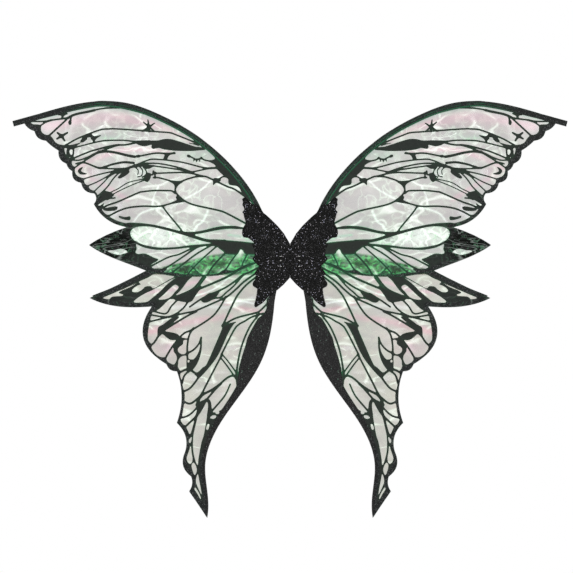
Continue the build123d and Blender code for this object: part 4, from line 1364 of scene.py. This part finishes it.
# An arm loop's elastic
LOOP_X = box_middle("right_arm_loop")[0]
STRAP_THICKNESS, STRAP_RIBS = 1.2, 10
# A loop's two patches, at the ends of their CAD node, and the box and cross sewn on them
PATCH_WIDTH, PATCH_HEIGHT, PATCH_CORNER = 20, 14, 1.6
PATCH_LOW, PATCH_HIGH = box("right_loop_patches")
PATCH_MIDDLES = (PATCH_HIGH[2] - PATCH_HEIGHT / 2, PATCH_LOW[2] + PATCH_HEIGHT / 2)
PATCH_FRONT = PATCH_LOW[1] + 0.05
SEAM_Y = PATCH_HIGH[1] + 0.05
SEWN_BOX = [(-7.5, -4.5), (7.5, -4.5), (7.5, 4.5), (-7.5, 4.5), (-7.5, -4.5), (7.5, 4.5)]
SEWN_CROSS = [(-7.5, 4.5), (7.5, -4.5)]


def strap_section():
    """Section of ribbed elastic, from edge to edge and back."""
    half_width = box("right_arm_loop")[1][0] - LOOP_X
    across = np.linspace(-half_width, half_width, 4 * STRAP_RIBS + 1)
    swell = 0.10 * np.cos(pi * STRAP_RIBS * across / half_width)
    edge = np.minimum(1, (half_width - np.abs(across)) / 0.5 + 0.45)
    half = (STRAP_THICKNESS / 2 - 0.1 + swell) * edge
    return np.vstack([np.column_stack([across, half]),
                      np.column_stack([across, -half])[::-1]])


def build_loop(side_name, side):
    """A flat elastic arm loop from patch to patch."""
    route = smooth(LOOP_ROUTE, 2.5)
    path = np.column_stack([np.full(len(route), LOOP_X), route])
    ahead = unit(np.gradient(route, axis=0))
    up = np.column_stack([np.zeros(len(route)), -ahead[:, 1], ahead[:, 0]])
    across = np.tile([1.0, 0.0, 0.0], (len(route), 1))
    made = add_mesh(f"{side_name}_arm_loop_strap", *sweep(path, across, up, strap_section()),
                    side, outward=True)
    made.data.materials.append(elastic)
    dress(made, "harness", "elastic", f"{side_name}_arm_loop")


def build_patches(side_name, side):
    """The sewn patches at a loop's ends, each with a stitched box and cross."""
    parts, threads = [], []
    for height in PATCH_MIDDLES:
        shape = rounded_box((LOOP_X, height), PATCH_WIDTH, PATCH_HEIGHT, PATCH_CORNER)
        grid = Grid(shape, PATCH_GRID)
        field = area_distance(grid, shape)
        patch = Contour(grid, field)
        back = PATCH_FRONT + rounded(-patch.value(field), *PATCH_BACK)
        parts.append(skin(patch, PATCH_FRONT, back))
        for seam in (SEWN_BOX, SEWN_CROSS):
            corners = [(LOOP_X + x, SEAM_Y, height + z) for x, z in seam]
            threads += [stitches(np.array(ends), *PATCH_STITCH)
                        for ends in zip(corners[:-1], corners[1:])]
    made = add_mesh(f"{side_name}_arm_loop_patches", *merged(parts + threads), side,
                    outward=True)
    two_materials(made, elastic, dark_thread, sum(len(faces) for _, faces in parts))
    dress(made, "harness", "elastic", f"{side_name}_loop_patches")


def finish_node(name, material, bevel):
    """Gives a CAD node that is shown its material and soft edges."""
    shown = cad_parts[name]
    shown.data.materials.clear()
    shown.data.materials.append(material)
    softener = shown.modifiers.new("soft_edges", "BEVEL")
    softener.width = bevel * MM
    softener.segments = 2
    softener.limit_method = "ANGLE"
    softener.angle_limit = radians(40)


# ---------------------------------------------------------------------------------------------
# The whole object

# CAD nodes of a side that are shown, with their material and the width of their soft edges
SHOWN_NODES = (
    ("back_panel", glitter_foam, 0.5), ("rod_holder", moulded_plastic, 0.4),
    ("rivets", rivet_metal, 0.25), ("loop_slider", slider_plastic, 0.5),
    ("upper_rod", wire, 0.15), ("lower_rod", wire, 0.15), ("tail_rod", wire, 0.15),
)

upper = Sheet("upper", (0.42, 0.286), 0.0697, ("upper_rod",),
              UPPER_WINDOWS, UPPER_STROKES, UPPER_PATCHES, UPPER_OPENINGS)
lower = Sheet("lower", (0.302, 0.432), 0.0516, ("lower_rod", "tail_rod"),
              LOWER_WINDOWS, LOWER_STROKES, LOWER_PATCHES, LOWER_OPENINGS)
half_cover, cover_face = draw_cover()

for side_name, side in SIDES:
    upper.build(side_name, side)
    lower.build(side_name, side)
    build_band(side_name, side, lower)
    build_wrap(side_name, side, "upper", BINDING, BINDING_SECTION, BINDING_SEAMS)
    build_wrap(side_name, side, "lower", SECOND_ROD, SLEEVE_SECTION, SLEEVE_SEAMS)
    build_wrap(side_name, side, "tail", TAIL_ROD, SLEEVE_SECTION, SLEEVE_SEAMS)
    build_cover(side_name, side, half_cover, cover_face)
    build_root_stitches(side_name, side)
    build_loop(side_name, side)
    build_patches(side_name, side)
    for cad_node, material, bevel in SHOWN_NODES:
        finish_node(f"{side_name}_{cad_node}", material, bevel)
build_pad()
finish_node("back_plate", moulded_plastic, 0.5)
finish_node("spine_core", moulded_plastic, 0.4)


# ---------------------------------------------------------------------------------------------
# Studio

# Soft lights: name, place, aim, width and height, power, colour
LIGHTS = (
    ("left_strip", (-0.95, -2.3, 0.75), (0, 0, 0), (0.25, 1.3), 12, (1.0, 0.98, 0.98)),
    ("right_strip", (1.0, -2.3, 0.55), (0, 0, 0), (0.25, 1.3), 11, (0.98, 1.0, 0.98)),
    ("top_strip", (0.0, -1.6, 1.3), (0, 0, 0), (1.5, 0.25), 10, (1, 1, 1)),
    ("low_strip", (0.1, -2.2, -1.2), (0, 0, -0.1), (1.2, 0.25), 8, (1.0, 0.97, 1.0)),
    ("rear_fill", (0.6, 2.4, 1.2), (0, 0, 0), (1.2, 1.2), 30, (1, 1, 1)),
)
SURROUNDINGS_SEEN, SURROUNDINGS_LIGHT = 1.0, 0.42


def add_light(name, place, target, size, power, tint):
    """A soft rectangular light aimed at a point."""
    lamp = bpy.data.lights.new(name, "AREA")
    lamp.shape = "RECTANGLE"
    lamp.size, lamp.size_y = size
    lamp.energy = power
    lamp.color = tint
    made = bpy.data.objects.new(name, lamp)
    bpy.context.scene.collection.objects.link(made)
    made.location = place
    made.rotation_euler = (Vector(target) - Vector(place)).to_track_quat("-Z", "Y").to_euler()


def add_floor():
    """A pale round floor well below the wings."""
    bpy.ops.mesh.primitive_circle_add(vertices=96, radius=1.5, fill_type="NGON",
                                      location=(0, 0.1, -0.95))
    floor = bpy.context.object
    floor.name = "pale_floor"
    pale = Paint("pale_floor", Roughness=0.9, Emission_Color=(1, 1, 1, 1),
                 Emission_Strength=0.45)
    grain = pale.noise(pale.place(), 6.0, 4)
    floor.data.materials.append(pale.finish(
        Base_Color=pale.mix(grain, (0.78, 0.78, 0.79), (0.86, 0.86, 0.86))))


def add_world():
    """White surroundings: bright where the camera sees them, dimmer as light."""
    world = bpy.data.worlds.new("studio")
    bpy.context.scene.world = world
    world.use_nodes = True
    tree = world.node_tree
    background = tree.nodes["Background"]
    background.inputs["Color"].default_value = (1, 1, 1, 1)
    rays = tree.nodes.new("ShaderNodeLightPath")
    strength = tree.nodes.new("ShaderNodeMapRange")
    strength.inputs["To Min"].default_value = SURROUNDINGS_LIGHT
    strength.inputs["To Max"].default_value = SURROUNDINGS_SEEN
    tree.links.new(rays.outputs["Is Camera Ray"], strength.inputs["Value"])
    tree.links.new(strength.outputs["Result"], background.inputs["Strength"])


def add_camera():
    """A long lens straight in front of the wings."""
    camera = bpy.data.objects.new("camera", bpy.data.cameras.new("camera"))
    bpy.context.scene.collection.objects.link(camera)
    camera.data.lens = 100
    camera.data.sensor_width = 36
    camera.location = (-0.0057, -2.6, -0.0414)
    camera.rotation_euler = (radians(90), 0, 0)
    bpy.context.scene.camera = camera


add_floor()
add_world()
add_camera()
for light in LIGHTS:
    add_light(*light)
bpy.context.scene.view_settings.view_transform = "Standard"
